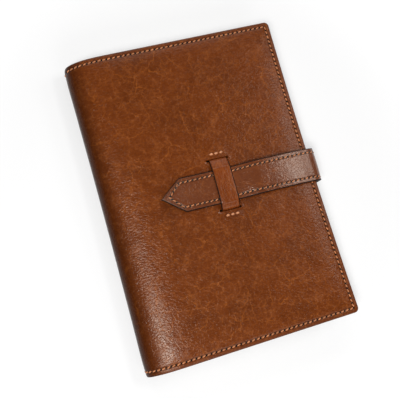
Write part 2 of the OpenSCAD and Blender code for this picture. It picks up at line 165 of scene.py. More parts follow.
class PlannerFinish(bpy.types.PropertyGroup):
    leather: shade("Leather", "Middle tone of the outer leather", (110, 50, 12))
    leather_dark: shade("Leather, dark", "Dark patches of the outer leather", (84, 36, 8))
    leather_light: shade("Leather, light", "Creases and worn patches", (158, 86, 32))
    leather_edge: shade("Leather, edge", "Burnished cut edge", (56, 26, 14))
    strap: shade("Strap", "Middle tone of the strap", (107, 54, 27))
    keeper: shade("Keeper", "Middle tone of the keeper", (130, 60, 20))
    strap_edge: shade("Strap edge", "Painted edge of the strap", (30, 19, 15))
    lining: shade("Lining", "Inside leather", (92, 56, 36))
    thread: shade("Thread", "Waxed thread of the seams", (226, 146, 94))
    keeper_thread: shade("Keeper thread", "Heavier thread at the keeper", (240, 166, 118))
    # painted shade: this near-black colours the needle holes, the slits, the seam lines, the spine and the
    # grooves between the thread's plies, where they lie in shade
    hole: shade("Hole", "Inside of a needle hole", (12, 6, 5))
    paper: shade("Paper", "Pages", (246, 240, 226))
    rule: shade("Rule", "Ruled lines on the pages", (176, 182, 186))
    card: shade("Card", "Covers of the refill", (38, 38, 41))
    board: shade("Board", "Boards in the covers", (150, 142, 130))


class PlannerStage(bpy.types.PropertyGroup):
    lens: FloatProperty(name="Lens", description="Focal length on a 36 mm sensor", default=51.63)
    camera_place: FloatVectorProperty(
        name="Camera", description="Place of the camera",
        default=(-0.08984, -0.05299, 0.40432), subtype="TRANSLATION",
    )
    camera_right: FloatVectorProperty(
        name="Right", description="Direction of the view's right", default=(0.94674, -0.27813, 0.16222)
    )
    camera_up: FloatVectorProperty(
        name="Up", description="Direction of the view's top", default=(0.25101, 0.95309, 0.16916)
    )
    floor_size: FloatProperty(name="Floor", description="Side of the floor", default=6.0, unit="LENGTH")
    floor_glow: FloatProperty(
        name="Floor glow", description="Brightness added to the floor in view", default=0.47
    )
    world: FloatProperty(name="World", description="Strength of the world's light", default=0.08)


def smooth(t):
    """Smooth step from 0 at t = 0 to 1 at t = 1."""
    t = np.clip(t, 0, 1)
    return t * t * (3 - 2 * t)


def settings(context):
    """The property groups by short name."""
    return [getattr(context.scene, name) for name in GROUPS]


class SpineShape:
    """Outside of the closed cover across its spine, in X and Z measured from the spine's outermost line."""

    def __init__(self, cover):
        self.c = cover
        self.rise = COVER_T - cover.spine_z

    def upper(self, degrees, depth=0.0):
        """Point on the curve from the spine up to the front cover, moved inwards by depth."""
        c, p = self.c, self.c.squareness
        a = np.radians(np.clip(degrees, 0, 90))
        u, v = np.cos(a) ** (2 / p), np.sin(a) ** (2 / p)
        normal = np.stack([-(u ** (p - 1)) / c.spine_run, v ** (p - 1) / self.rise], -1)
        normal /= np.linalg.norm(normal, axis=-1, keepdims=True)
        point = np.stack([c.spine_run * (1 - u), c.spine_z + self.rise * v], -1)
        return point - depth * normal

    def lower(self, degrees, depth=0.0):
        """Point on the curve from the spine down to the back cover, moved inwards by depth."""
        a = np.radians(np.asarray(degrees, float))
        r = self.c.spine_z
        return np.array([r, r]) - (r - depth) * np.stack([np.cos(a), np.sin(a)], -1)

    def upper_angle(self, z):
        """Angle at which the upper curve reaches height z."""
        angles = np.linspace(0, 90, 2001)
        return float(np.interp(z, self.upper(angles)[:, 1], angles))

    def path(self, front, depth=0.0):
        """Dense path from the split to the fore-edge of the front cover, or of the back cover."""
        start = self.upper_angle(self.c.split_z)
        if front:
            arc = self.upper(np.linspace(start, 90, 400), depth)
        else:
            top = self.upper(np.linspace(start, 0, 40), depth)
            arc = np.vstack([top, self.lower(np.linspace(0, 90, 80)[1:], depth)])
        run = np.linspace(arc[-1][0], COVER_W, 60)[1:]
        level = COVER_T - depth if front else depth
        return np.vstack([arc, np.stack([run, np.full_like(run, level)], -1)])


def path_lengths(path):
    """Distance of each point of a path from its start."""
    return np.concatenate([[0], np.cumsum(np.linalg.norm(np.diff(path, axis=0), axis=1))])


def along(path, s):
    """Points, and unit tangents, at distances s along a path."""
    lengths = path_lengths(path)
    at = np.stack([np.interp(s, lengths, path[:, k]) for k in range(path.shape[1])], -1)
    step = 0.05 * MM
    ahead = np.stack([np.interp(s + step, lengths, path[:, k]) for k in range(path.shape[1])], -1)
    behind = np.stack([np.interp(s - step, lengths, path[:, k]) for k in range(path.shape[1])], -1)
    tangent = ahead - behind
    return at, tangent / np.maximum(np.linalg.norm(tangent, axis=-1, keepdims=True), 1e-12)


def ruled(low, high, step, zones=(), extra=()):
    """Grid lines from low to high, a step apart, finer in zones of (from, to, step), with extra lines."""
    lines, at = [low], low
    while at < high - 1e-9:
        here = min([z[2] for z in zones if z[0] - 1e-9 <= at < z[1]] + [step])
        ahead = [z[0] for z in zones if z[0] > at + 1e-9]
        at = min([at + here, high] + [a for a in ahead if a > at])
        lines.append(at)
    merged = sorted(set(round(v, 7) for v in lines + [e for e in extra if low < e < high]))
    kept = [merged[0]]
    for value in merged[1:]:
        if value - kept[-1] > 0.04 * MM or value == merged[-1]:
            kept.append(value)
    return np.array(kept)


def spread(columns, count):
    """Each column of values as a grid, with every value repeated count times along its row."""
    return [np.repeat(column[:, None], count, 1) for column in columns.T]


def mirrored(lines):
    """Lines from 0 upwards, with the same on the other side of 0."""
    lines = np.asarray(lines)
    return np.unique(np.concatenate([-lines, lines]))


def drawn_in(cover, points):
    """Points measured from the spine, with the cover's slight pinch at mid fore-edge and mid spine."""
    points = np.array(points, float)
    across = 1 - (2 * points[..., 1] / COVER_H) ** 2
    far = smooth((points[..., 0] / COVER_W - 0.45) / 0.55)
    near = 1 - smooth(points[..., 0] / (cover.spine_run * 1.1))
    points[..., 0] += across * (cover.spine_bow * near - cover.fore_bow * far)
    return points


def grid_faces(n, m, base=0, flip=False):
    """Quads of an n by m grid of points numbered from base."""
    i, j = np.meshgrid(np.arange(n - 1), np.arange(m - 1), indexing="ij")
    a = base + i * m + j
    quads = np.stack([a, a + m, a + m + 1, a + 1], -1).reshape(-1, 4)
    return quads[:, ::-1] if flip else quads


def wall_faces(n, m, base, flip=False):
    """Quads joining the rims of two n by m grids, the second numbered from base."""
    rim = np.concatenate([
        np.arange(0, n) * m,
        (n - 1) * m + np.arange(1, m),
        np.arange(n - 2, -1, -1) * m + m - 1,
        np.arange(m - 2, 0, -1),
    ])
    nxt = np.roll(rim, -1)
    quads = np.stack([rim, rim + base, nxt + base, nxt], -1)
    return quads[:, ::-1] if flip else quads


def new_mesh(name, points, faces, facts=None, sharp=50, origin=(LEFT, 0, 0), walls=0):
    """A mesh object from points measured from the spine, with named facts stored at its points.

    Its last faces, as many as walls says, take the second material: a shell's cut edge, or the pages'
    two outer sides.
    """
    mesh = bpy.data.meshes.new(name)
    moved = np.asarray(points, float).reshape(-1, 3) + np.array(origin)
    mesh.from_pydata(moved.tolist(), [], [list(map(int, f)) for f in faces])
    for key, values in (facts or {}).items():
        values = np.asarray(values, np.float32)
        kind = "FLOAT" if values.ndim == 1 else "FLOAT_VECTOR"
        layer = mesh.attributes.new(key, kind, "POINT")
        layer.data.foreach_set("value" if values.ndim == 1 else "vector", values.ravel())
    mesh.polygons.foreach_set("use_smooth", [True] * len(mesh.polygons))
    mesh.polygons.foreach_set("material_index", [0] * (len(faces) - walls) + [1] * walls)
    mesh.set_sharp_from_angle(angle=math.radians(sharp))
    mesh.validate()
    obj = bpy.data.objects.new(name, mesh)
    bpy.context.collection.objects.link(obj)
    return obj


def shell(name, outer, inner, facts, flip=False):
    """A closed shell between two grids of points; each fact is a pair of grids, outer side and inner side."""
    n, m = outer.shape[:2]
    faces = np.vstack([
        grid_faces(n, m, 0, flip),
        grid_faces(n, m, n * m, not flip),
        wall_faces(n, m, n * m, flip),
    ])
    points = np.concatenate([outer.reshape(-1, 3), inner.reshape(-1, 3)])
    joined = {}
    for key, (a, b) in facts.items():
        width = a.shape[2:]
        joined[key] = np.concatenate([a.reshape(-1, *width), b.reshape(-1, *width)])
    return new_mesh(name, points, faces, joined, walls=2 * (n + m - 2))


def paint_rim(obj, n, m, rows):
    """Gives the outermost rows along both sides of a shell's outer grid the cut edge's material."""
    for i in range(n - 1):
        for j in (*range(rows), *range(m - 1 - rows, m - 1)):
            obj.data.polygons[i * (m - 1) + j].material_index = 1


def hide_facts(flat, seam=None, edge=None, slit=None):
    """What a hide's material reads, as pairs for a shell's two sides; what isn't given is blank."""
    zero = np.zeros(flat.shape[:-1])
    far = np.full(flat.shape, NO_SEAM)
    blank = (zero, zero)
    return {"flat": (flat, flat), "seam": seam or (far, far), "edge": edge or blank, "slit": slit or blank}


def turned(x, y, angle):
    """Places turned in the plane by an angle."""
    c, s = math.cos(angle), math.sin(angle)
    return c * x - s * y, s * x + c * y


def slow_wave(x, y, size, seed):
    """Smooth noise between -1 and 1 on a grid of points."""
    values = [noise.noise(Vector((a / size, b / size, seed))) for a, b in zip(x.ravel(), y.ravel())]
    return np.array(values).reshape(x.shape)


def seam_facts(flat, path, pitch):
    """For flat points: how far along a seam the nearest point of it lies, in stitches, and how far off it."""
    best = np.full(flat.shape[:-1], 1e9)
    count = np.zeros_like(best)
    start = 0.0
    for a, b in zip(path[:-1], path[1:]):
        a, b = np.array(a, float), np.array(b, float)
        run = np.linalg.norm(b - a)
        t = np.clip(((flat - a) @ (b - a)) / run**2, 0, 1)
        off = np.linalg.norm(flat - (a + t[..., None] * (b - a)), axis=-1)
        nearer = off < best
        best = np.where(nearer, off, best)
        count = np.where(nearer, (start + t * run) / pitch, count)
        start += run
    return np.stack([count, best / MM, np.zeros_like(best)], -1)


def rubbed_edge(rim, reach):
    """Darkening of leather near its cut edge: full at the edge itself, and faint over the reach."""
    return np.maximum(np.clip(1 - rim / (0.45 * MM), 0, 1), 0.25 * smooth(1.3 * (1 - rim / reach)))


def cover_seam(path, seam):
    """The seam of one cover, laid flat: out along the bottom, up the fore-edge and back along the top."""
    reach = path_lengths(path)[-1] - seam.inset
    y = COVER_H / 2 - seam.inset
    return [(0.0, -y), (reach, -y), (reach, y), (0.0, y)]


def round_corners(cover, x, y):
    """Draws the last columns of a grid in, so that its end follows the two rounded corners."""
    r, dy = cover.corner_r, COVER_H / 2 - np.abs(y)
    cut = r - np.sqrt(np.maximum(r**2 - np.maximum(r - dy, 0) ** 2, 0))
    return x - cut * smooth((x - COVER_W + 4 * r) / (4 * r))


def rim_distance(cover, x, y):
    """Distance in from the cover's rounded outline, for points on the drawn-out plan."""
    dx, dy, r = COVER_W - x, COVER_H / 2 - np.abs(y), cover.corner_r
    corner = r - np.hypot(np.maximum(r - dx, 0), np.maximum(r - dy, 0))
    return np.where((dx < r) & (dy < r), corner, np.minimum(dx, dy))


def soft_least(a, b, power=5):
    """The lesser of two distances, rounded where they are alike."""
    a, b = np.maximum(a, 1e-9), np.maximum(b, 1e-9)
    return (a**-power + b**-power) ** (-1 / power)


def cover_drop(cover, seam, x, y):
    """How far the leather lies below the panel's level, without and with the marks of sewing and wear."""
    dx, dy = COVER_W - x, COVER_H / 2 - np.abs(y)
    boarded = smooth((x - 0.2 * cover.spine_run) / (0.75 * cover.spine_run))
    depth = cover.board_t * (0.25 + 0.75 * boarded)
    d = soft_least(dx, dy)
    # the leather falls away ever faster towards the seam, then lies flat under it
    slope = np.clip(1 - (d - seam.inset) / cover.slope_w, 0, 1) ** 2.3
    slope = slope - 0.12 * smooth((d - seam.inset + 0.5 * MM) / (2.2 * MM)) * slope
    plain = depth * slope
    rim = rim_distance(cover, x, y)
    groove = 0.28 * MM * np.exp(-(((rim - seam.inset) / (0.75 * MM)) ** 2))
    fall = np.clip(1 - rim / cover.edge_w, 0, 1)
    worn = cover.edge_drop * fall**2
    nose = 0.25 * MM * (1 - np.sqrt(np.clip(1 - np.clip(1 - rim / (0.35 * MM), 0, 1) ** 2, 0, 1)))
    return plain, plain + groove + worn + nose


def keeper_place(keeper, strap, x, y):
    """Points of the front cover in the keeper's own frame."""
    return turned(x - keeper.place_x, y - keeper.place_y, -strap.skew)


def keeper_marks(keeper, strap, x, y):
    """Rise of the front leather at the keeper: slits, their lips, and the keeper's ends beneath; and a mask
    of the slits, where their shade is painted.
    """
    u, v = keeper_place(keeper, strap, x, y)
    slit = keeper.span / 2 + keeper.thickness / 2
    v = np.abs(v)
    past_end, past_side = np.abs(u) - keeper.slit_l / 2, np.abs(v - slit) - keeper.slit_w / 2
    off = np.hypot(np.maximum(past_end, 0), np.maximum(past_side, 0))
    cut = -1.5 * MM * (1 - smooth(off / (0.45 * MM)))
    lip = 0.3 * MM * np.exp(-(((off - 0.8 * MM) / (0.7 * MM)) ** 2))
    ends = np.exp(-(((np.abs(u) - keeper.slit_l / 2) / (1.2 * MM)) ** 2) - ((v - slit) / (1.0 * MM)) ** 2)
    tab = smooth((9.5 * MM - np.abs(u)) / (5 * MM)) * smooth((v - slit) / (0.8 * MM))
    tab = tab * smooth((slit + 9 * MM - v) / (5 * MM))
    return cut + lip + 0.22 * MM * ends + 0.3 * MM * tab, 1 - smooth(off / (0.5 * MM))


def leather_half(name, context, front):
    """Outer leather of the front or the back cover, with its half of the spine."""
    cover, seam, strap, keeper = settings(context)[:4]
    shape = SpineShape(cover)
    path = shape.path(front)
    total = path_lengths(path)[-1]
    curved = total - (COVER_W - cover.spine_run) if front else 24 * MM
    edge_lines = [d * MM for d in (0.06, 0.18, 0.36, 0.7, 1.1)]
    zones = [(0.0, curved, 0.8 * MM), (total - 13 * MM, total, 0.55 * MM)]
    slit = keeper.span / 2 + keeper.thickness / 2
    y_zones = [(COVER_H / 2 - 13 * MM, COVER_H / 2, 0.55 * MM)]
    if front:
        middle = total - (COVER_W - keeper.place_x)
        zones.append((middle - 11 * MM, middle + 11 * MM, 0.6 * MM))
        y_zones.append((slit - 2.6 * MM, slit + 3.4 * MM, 0.3 * MM))
    s_lines = ruled(0, total, 1.9 * MM, zones, [total - d for d in edge_lines])
    y_lines = mirrored(ruled(0, COVER_H / 2, 1.9 * MM, y_zones, [COVER_H / 2 - d for d in edge_lines]))
    at, tangent = along(path, s_lines)
    normal = np.stack([-tangent[:, 1], tangent[:, 0]], -1) * (1 if front else -1)
    s, y = np.meshgrid(s_lines, y_lines, indexing="ij")
    (x, z), (nx, nz) = spread(at, len(y_lines)), spread(normal, len(y_lines))
    x = round_corners(cover, x, y)
    plain, worn = cover_drop(cover, seam, x, y)
    inner_depth = plain + cover.leather_t
    marks, slit_shade_mask = np.zeros_like(x), np.zeros_like(x)
    if front:
        marks, slit_shade_mask = keeper_marks(keeper, strap, x, y)
    calm = smooth(rim_distance(cover, x, y) / (9 * MM))
    # a back cover lies flat on the table, and its leather only dips in from it
    wave = cover.wave * calm * slow_wave(s, y, 26 * MM, 3.0 if front else 9.0)
    wave += 0.35 * cover.wave * calm * slow_wave(s, y, 9 * MM, 5.0 if front else 11.0)
    depth = worn - marks + (wave if front else np.maximum(wave, 0))
    outer = drawn_in(cover, np.stack([x - nx * depth, y, z - nz * depth], -1))
    inner = drawn_in(cover, np.stack([x - nx * inner_depth, y, z - nz * inner_depth], -1))
    flat = np.stack([s if front else -s, y, np.zeros_like(s)], -1)
    marks_at = seam_facts(np.stack([s, y], -1), cover_seam(path, seam), seam.pitch)
    rim = rim_distance(cover, x, y)
    zero, one = np.zeros_like(x), np.ones_like(x)
    seam_pair = (marks_at, marks_at + [0, NO_SEAM, 0])
    facts = hide_facts(flat, seam_pair, (rubbed_edge(rim, 3.2 * MM), one), (slit_shade_mask, zero))
    obj = shell(name, outer, inner, facts, flip=not front)
    # the first rows, on the steep part of the spine, take the third material
    steep_l = (9 if front else 14) * MM
    steep_faces = int(np.searchsorted(s_lines, steep_l)) * (len(y_lines) - 1)
    for face in list(obj.data.polygons)[:steep_faces]:
        face.material_index = 2
    return obj


def bend_cover(obj, front):
    """Bakes the placement of a piece of one cover into its mesh."""
    if front:
        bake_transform(obj)
    else:
        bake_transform(obj)


def thread_piece(name, frames, size, seed=0):
    """One mesh of many stitches. Each frame is a place, a direction along, and a direction up."""
    rings, sides = 9, 8
    half, radius = size[0] / 2, size[1] / 2
    t = np.linspace(-1, 1, rings)
    around = np.arange(sides) / sides * 2 * np.pi
    girth = radius * (1 - 0.55 * np.abs(t) ** 3)
    lift = radius * (0.62 - 1.25 * np.abs(t) ** 2.4)
    local = np.zeros((rings, sides, 3))
    local[..., 0] = (t * half)[:, None]
    local[..., 1] = girth[:, None] * np.cos(around) * 1.08
    local[..., 2] = lift[:, None] + girth[:, None] * np.sin(around) * 0.92
    run_mm, share = (t * half)[:, None] / MM, around[None] / (2 * np.pi)
    turn = np.stack([np.repeat(run_mm, sides, 1), np.repeat(share, rings, 0)], -1)
    faces_one = []
    for i in range(rings - 1):
        for j in range(sides):
            k = (j + 1) % sides
            faces_one.append((i * sides + j, (i + 1) * sides + j, (i + 1) * sides + k, i * sides + k))
    caps = [list(range(sides)), [(rings - 1) * sides + j for j in range(sides - 1, -1, -1)]]
    points, faces, twist = [], [], []
    rng = np.random.default_rng(20 + seed)
    for index, (place, run, up) in enumerate(frames):
        run, up = np.array(run, float), np.array(up, float)
        run /= np.linalg.norm(run)
        up = up - run * (up @ run)
        up /= np.linalg.norm(up)
        sway = rng.normal(0, 0.05)
        side = np.cross(up, run)
        run = run * math.cos(sway) + side * math.sin(sway)
        side = np.cross(up, run)
        basis = np.stack([run, side, up])
        swell = 1 + rng.normal(0, 0.05)
        base = index * rings * sides
        points.append((local * [1, swell, swell]).reshape(-1, 3) @ basis + np.array(place))
        faces += [tuple(base + v for v in f) for f in faces_one]
        faces += [tuple(base + v for v in f) for f in caps]
        layer = np.zeros((rings * sides, 3))
        layer[:, :2] = turn.reshape(-1, 2)
        layer[:, 2] = rng.random()
        twist.append(layer)
    return new_mesh(name, np.vstack(points), faces, {"twist": np.vstack(twist)}, sharp=80)


def slanted(run, up, angle):
    """A direction turned about up by angle."""
    run, up = np.array(run, float), np.array(up, float)
    side = np.cross(up, run)
    return run * math.cos(angle) + side * math.sin(angle)


def cover_threads(name, context, front):
    """Stitches of one cover's seam, outside and inside."""
    cover, seam = settings(context)[:2]
    shape = SpineShape(cover)
    path = shape.path(front)
    total = path_lengths(path)[-1]
    flat = np.array(cover_seam(path, seam))
    lengths = path_lengths(flat)
    count = int(lengths[-1] / seam.pitch)
    side_sign = 1 if front else -1
    frames = []
    for i in range(count):
        middle = (i + 0.5) * seam.pitch
        p, direction = along(flat, np.array([middle]))
        s, y = p[0]
        at, tangent = along(path, np.array([min(s, total)]))
        x, z = at[0]
        tx, tz = tangent[0]
        normal = np.array([-tz, 0, tx]) * side_sign
        on_path = direction[0]
        run = np.array([tx * on_path[0], on_path[1], tz * on_path[0]])
        plain, worn = cover_drop(cover, seam, np.array([x]), np.array([y]))
        place = drawn_in(cover, np.array([x, y, z]) - normal * float(worn[0]))
        frames.append((place, slanted(run, normal, seam.slant), normal))
        # the under side of the stitch, on the lining or the sleeve
        inside_depth = float(plain[0]) + cover.leather_t + cover.lining_t
        if x > COVER_W - cover.sleeve_w:
            inside_depth += cover.sleeve_t
        inside = drawn_in(cover, np.array([x, y, z]) - normal * inside_depth)
        frames.append((inside, slanted(run, -normal, seam.slant), -normal))
    return thread_piece(name, frames, (seam.stitch_l, seam.thread_d), 1 if front else 2)


# Materials


class Nodes:
    """Short way to add and join the nodes of one material."""

    def __init__(self, name):
        self.material = bpy.data.materials.new(name)
        self.material.use_nodes = True
        self.tree = self.material.node_tree
        self.tree.nodes.clear()
        self.out = self.tree.nodes.new("ShaderNodeOutputMaterial")

    def add(self, kind, **inputs):
        node = self.tree.nodes.new("ShaderNode" + kind)
        for key, value in inputs.items():
            if key.startswith("set_"):
                setattr(node, key[4:], value)
                continue
            self.put(node, key, value)
        return node

    def put(self, node, key, value):
        by_place = key[0] == "i" and key[1:].isdigit()
        socket = node.inputs[int(key[1:]) if by_place else key.replace("_", " ")]
        if isinstance(value, bpy.types.NodeSocket):
            self.tree.links.new(value, socket)
        else:
            socket.default_value = value

    def math(self, operation, *values, clamp=False):
        node = self.tree.nodes.new("ShaderNodeMath")
        node.operation = operation
        node.use_clamp = clamp
        for i, value in enumerate(values):
            self.put(node, f"i{i}", value)
        return node.outputs[0]

    def fact(self, name, output="Vector"):
        node = self.tree.nodes.new("ShaderNodeAttribute")
        node.attribute_name = name
        return node.outputs[output]

    def scaled(self, vector, factor, shift=(0, 0, 0)):
        node = self.tree.nodes.new("ShaderNodeVectorMath")
        node.operation = "MULTIPLY_ADD"
        self.put(node, "i0", vector)
        if isinstance(factor, (int, float)):
            factor = (factor, factor, factor)
        node.inputs[1].default_value = factor
        node.inputs[2].default_value = shift
        return node.outputs[0]

    def moved(self, vector, by, reach):
        """A place on the hide moved by another vector, times reach."""
        node = self.tree.nodes.new("ShaderNodeVectorMath")
        node.operation = "MULTIPLY_ADD"
        self.put(node, "i0", by)
        node.inputs[1].default_value = (reach, reach, 0)
        self.put(node, "i2", vector)
        return node.outputs[0]

    def noise(self, vector, scale, detail=3, rough=0.55, distortion=0.0):
        node = self.add("TexNoise", Scale=scale, Detail=detail, Roughness=rough, Distortion=distortion)
        self.put(node, "Vector", vector)
        return node.outputs

    def ramp(self, value, low, high):
        """Smooth step between low and high."""
        node = self.tree.nodes.new("ShaderNodeMapRange")
        node.interpolation_type = "SMOOTHSTEP"
        self.put(node, "i0", value)
        node.inputs[1].default_value = low
        node.inputs[2].default_value = high
        return node.outputs[0]

    def blend(self, factor, a, b, mode="MIX"):
        node = self.tree.nodes.new("ShaderNodeMix")
        node.data_type = "RGBA"
        node.blend_type = mode
        self.put(node, "i0", factor)
        self.put(node, "i6", a)
        self.put(node, "i7", b)
        return node.outputs[2]

    def bump(self, height, distance, strength=1.0, normal=None):
        node = self.tree.nodes.new("ShaderNodeBump")
        self.put(node, "Height", height)
        node.inputs["Distance"].default_value = distance
        node.inputs["Strength"].default_value = strength
        if normal is not None:
            self.put(node, "Normal", normal)
        return node.outputs[0]

    def finish(self, **inputs):
        shader = self.add("BsdfPrincipled", **inputs)
        self.tree.links.new(shader.outputs[0], self.out.inputs[0])
        return self.material


def crease_lines(n, flat, size, width, seed, bend):
    """Thin wandering lines, as on leather that was folded: 1 on a line, 0 off it."""
    warp = n.noise(n.scaled(flat, 1.0, (seed, 2 * seed, 0)), 2.2 / size, 3, 0.6)["Color"]
    cells = n.add("TexVoronoi", set_feature="DISTANCE_TO_EDGE", set_voronoi_dimensions="2D", Scale=1 / size)
    n.put(cells, "Vector", n.scaled(n.moved(flat, warp, bend * size), 1.0, (seed * 3.1, seed * 1.7, 0)))
    return n.math("SUBTRACT", 1.0, n.ramp(cells.outputs["Distance"], 0.0, width / size))


def leather_material(name, finish, tones, edge, seams=True, gloss=0.265, shine=0.34, variation=1.0,
                     wrinkles=1.0, spine=0.0):
    """Oiled leather: mottled, creased, finely wrinkled, darker at its edges and pricked along its seam, with
    painted shade in its needle holes, along its seam line, in its slits and towards the spine.
    """
    base, dark, light = tones
    n = Nodes(name)
    flat = n.scaled(n.fact("flat"), 1000.0)
    cloud = n.noise(flat, 0.03, 3, 0.6, 0.3)["Fac"]
    patch = n.noise(n.scaled(flat, 1.0, (40, 11, 0)), 0.13, 5, 0.7, 0.9)["Fac"]
    fleck = n.noise(n.scaled(flat, (0.6, 1.0, 1.0), (7, 90, 0)), 0.8, 4, 0.75, 0.6)["Fac"]
    colour = base
    for source, low, high, share, tone in (
        (cloud, 0.42, 0.7, 0.5, dark),
        (patch, 0.47, 0.8, 0.4, light),
        (patch, 0.48, 0.25, 0.4, dark),
        (fleck, 0.45, 0.75, 0.3, light),
        (fleck, 0.5, 0.28, 0.34, dark),
    ):
        colour = n.blend(n.math("MULTIPLY", n.ramp(source, low, high), share * variation), colour, tone)
    # long, short and fine creases, each kind in patches of its own
    where = n.noise(n.scaled(flat, 1.0, (5, 60, 0)), 0.05, 3, 0.6)["Fac"]
    there = n.noise(n.scaled(flat, 1.0, (85, 20, 0)), 0.07, 3, 0.6)["Fac"]
    lines = 0.0
    for size, width, seed, bend, source, low, high, share in (
        (22.0, 0.6, 3.0, 0.6, where, 0.4, 0.62, 1.0),
        (8.5, 0.38, 8.0, 0.7, there, 0.44, 0.66, 0.85),
        (4.2, 0.3, 13.0, 0.8, patch, 0.36, 0.6, 0.7),
    ):
        crease = n.math("MULTIPLY", crease_lines(n, flat, size, width, seed, bend), n.ramp(source, low, high))
        lines = n.math("MAXIMUM", lines, n.math("MULTIPLY", crease, share))
    lines = n.math("MULTIPLY", lines, n.ramp(fleck, 0.22, 0.52))
    colour = n.blend(n.math("MULTIPLY", lines, 0.8 * variation), colour, light)
    # painted shade: the colour darkens towards the spine, as much as spine asks, for the shade on the steep
    # side of the spine
    across = n.math("ABSOLUTE", n.add("SeparateXYZ", Vector=flat).outputs[0])
    spine_shade_mask = n.math("SUBTRACT", 1.0, n.ramp(across, 2.0, 20.0))
    colour = n.blend(n.math("MULTIPLY", spine_shade_mask, spine), colour, n.blend(0.62, dark, finish.hole))
    # fine wrinkles, drawn out across the cover, with a coarser pull under them
    warp = n.noise(flat, 0.4, 3, 0.65)["Color"]
    drawn = n.moved(n.scaled(flat, (0.6, 1.05, 1.0)), warp, 2.6)
    plates = n.add("TexVoronoi", set_feature="DISTANCE_TO_EDGE", set_voronoi_dimensions="2D", Scale=0.55)
    n.put(plates, "Vector", drawn)
    plate = n.ramp(plates.outputs["Distance"], 0.0, 0.28)
    ripple = n.noise(n.scaled(flat, (0.5, 1.0, 1.0), (3, 7, 0)), 0.4, 2, 0.5, 1.1)["Fac"]
    grain = n.math("ADD", n.math("MULTIPLY", plate, 0.6), ripple)
    uneven = n.noise(flat, 0.16, 3, 0.6)["Fac"]
    normal = n.bump(uneven, 0.00022, 1.0)
    normal = n.bump(grain, 0.000095 * wrinkles, 1.0, normal)
    normal = n.bump(n.math("SUBTRACT", 1.0, lines), 0.00003, 1.0, normal)
    edge_mask = n.fact("edge", "Fac")
    rough = n.math("ADD", gloss, n.math("MULTIPLY", n.math("SUBTRACT", patch, 0.5), 0.25 * variation))
    rough = n.math("ADD", rough, n.math("MULTIPLY", edge_mask, 0.35))
    # darker towards the cut edges for the burnished edge; along the keeper's sides this also paints shadow
    colour = n.blend(n.math("MULTIPLY", edge_mask, 0.9), colour, edge)
    if seams:
        parts = n.add("SeparateXYZ", Vector=n.fact("seam"))
        step = n.math("SUBTRACT", n.math("FRACT", n.math("ADD", parts.outputs[0], 0.5)), 0.5)
        reach = n.math("MULTIPLY", step, 3.5)
        squares = n.math("ADD", n.math("POWER", reach, 2.0), n.math("POWER", parts.outputs[1], 2.0))
        off = n.math("SQRT", squares)
        # painted shade: near-black in the needle holes and a dark line along the seam, for the shade in the
        # holes and in the seam's groove
        hole = n.math("SUBTRACT", 1.0, n.ramp(off, 0.45, 0.85))
        line = n.math("SUBTRACT", 1.0, n.ramp(parts.outputs[1], 0.3, 1.4))
        colour = n.blend(n.math("MULTIPLY", line, 0.85), colour, n.blend(0.55, dark, finish.hole))
        colour = n.blend(hole, colour, finish.hole)
        normal = n.bump(n.math("SUBTRACT", 1.0, hole), 0.0003, 0.6, normal)
        rough = n.math("ADD", rough, n.math("MULTIPLY", hole, 0.6))
    # painted shade: the slits are coloured near-black for the shade in the gap through the leather
    slit = n.fact("slit", "Fac")
    colour = n.blend(n.ramp(slit, 0.5, 0.9), colour, finish.hole)
    return n.finish(
        Base_Color=colour, Roughness=rough, Normal=normal,
        Specular_IOR_Level=shine, Specular_Tint=(1.0, 0.88, 0.76, 1.0),
    )


def thread_material(name, finish, thread):
    """Waxed thread of three twisted plies."""
    n = Nodes(name)
    parts = n.add("SeparateXYZ", Vector=n.fact("twist"))
    along_turns = n.math("MULTIPLY", parts.outputs[0], 0.9)
    turns = n.math("ADD", along_turns, n.math("MULTIPLY", parts.outputs[1], 3.0))
    ply = n.math("ABSOLUTE", n.math("SINE", n.math("MULTIPLY", turns, math.pi)))
    tone = n.math("ADD", 0.72, n.math("MULTIPLY", parts.outputs[2], 0.28))
    # painted shade: the grooves between the plies are coloured darker
    dark = n.blend(0.4, thread, finish.hole)
    colour = n.blend(n.ramp(ply, 0.0, 0.5), dark, thread)
    grey = n.add("CombineColor", Red=tone, Green=tone, Blue=tone).outputs[0]
    colour = n.blend(1.0, colour, grey, "MULTIPLY")
    normal = n.bump(ply, 0.0002, 0.8)
    return n.finish(Base_Color=colour, Roughness=0.55, Normal=normal)


def paper_material(finish, ruled_page):
    """Cream paper: leaf edges on the sides of the block, and faint ruled lines on the pages."""
    n = Nodes("ruled_paper" if ruled_page else "paper_edges")
    parts = n.add("SeparateXYZ", Vector=n.scaled(n.fact("flat"), 1000.0))
    fibre = n.noise(n.scaled(n.fact("flat"), 1000.0), 1.4, 3, 0.6)["Fac"]
    colour = n.blend(n.math("MULTIPLY", fibre, 0.12), finish.paper, finish.board)
    if ruled_page:
        within = n.math("FRACT", n.math("DIVIDE", parts.outputs[1], 7.0))
        step = n.math("ABSOLUTE", n.math("SUBTRACT", within, 0.5))
        line = n.ramp(step, 0.47, 0.485)
        inside = n.math("LESS_THAN", n.math("ABSOLUTE", parts.outputs[1]), 94.0)
        colour = n.blend(n.math("MULTIPLY", line, n.math("MULTIPLY", inside, 0.75)), colour, finish.rule)
        return n.finish(Base_Color=colour, Roughness=0.85)
    leaves = n.noise(n.scaled(n.fact("flat"), (8.0, 8.0, 9000.0)), 1.0, 2, 0.6)["Fac"]
    colour = n.blend(n.math("MULTIPLY", n.ramp(leaves, 0.5, 0.75), 0.3), colour, finish.board)
    return n.finish(Base_Color=colour, Roughness=0.9, Normal=n.bump(leaves, 0.0002, 0.5))


def card_material(name, base, light, rough):
    """Board, card or book cloth with a fine fibre."""
    n = Nodes(name)
    place = n.add("TexCoord").outputs["Object"]
    fibre = n.noise(n.scaled(place, 1000.0), 1.1, 4, 0.65)["Fac"]
    colour = n.blend(n.math("MULTIPLY", fibre, 0.3), base, light)
    return n.finish(Base_Color=colour, Roughness=rough, Normal=n.bump(fibre, 0.0001, 0.4))


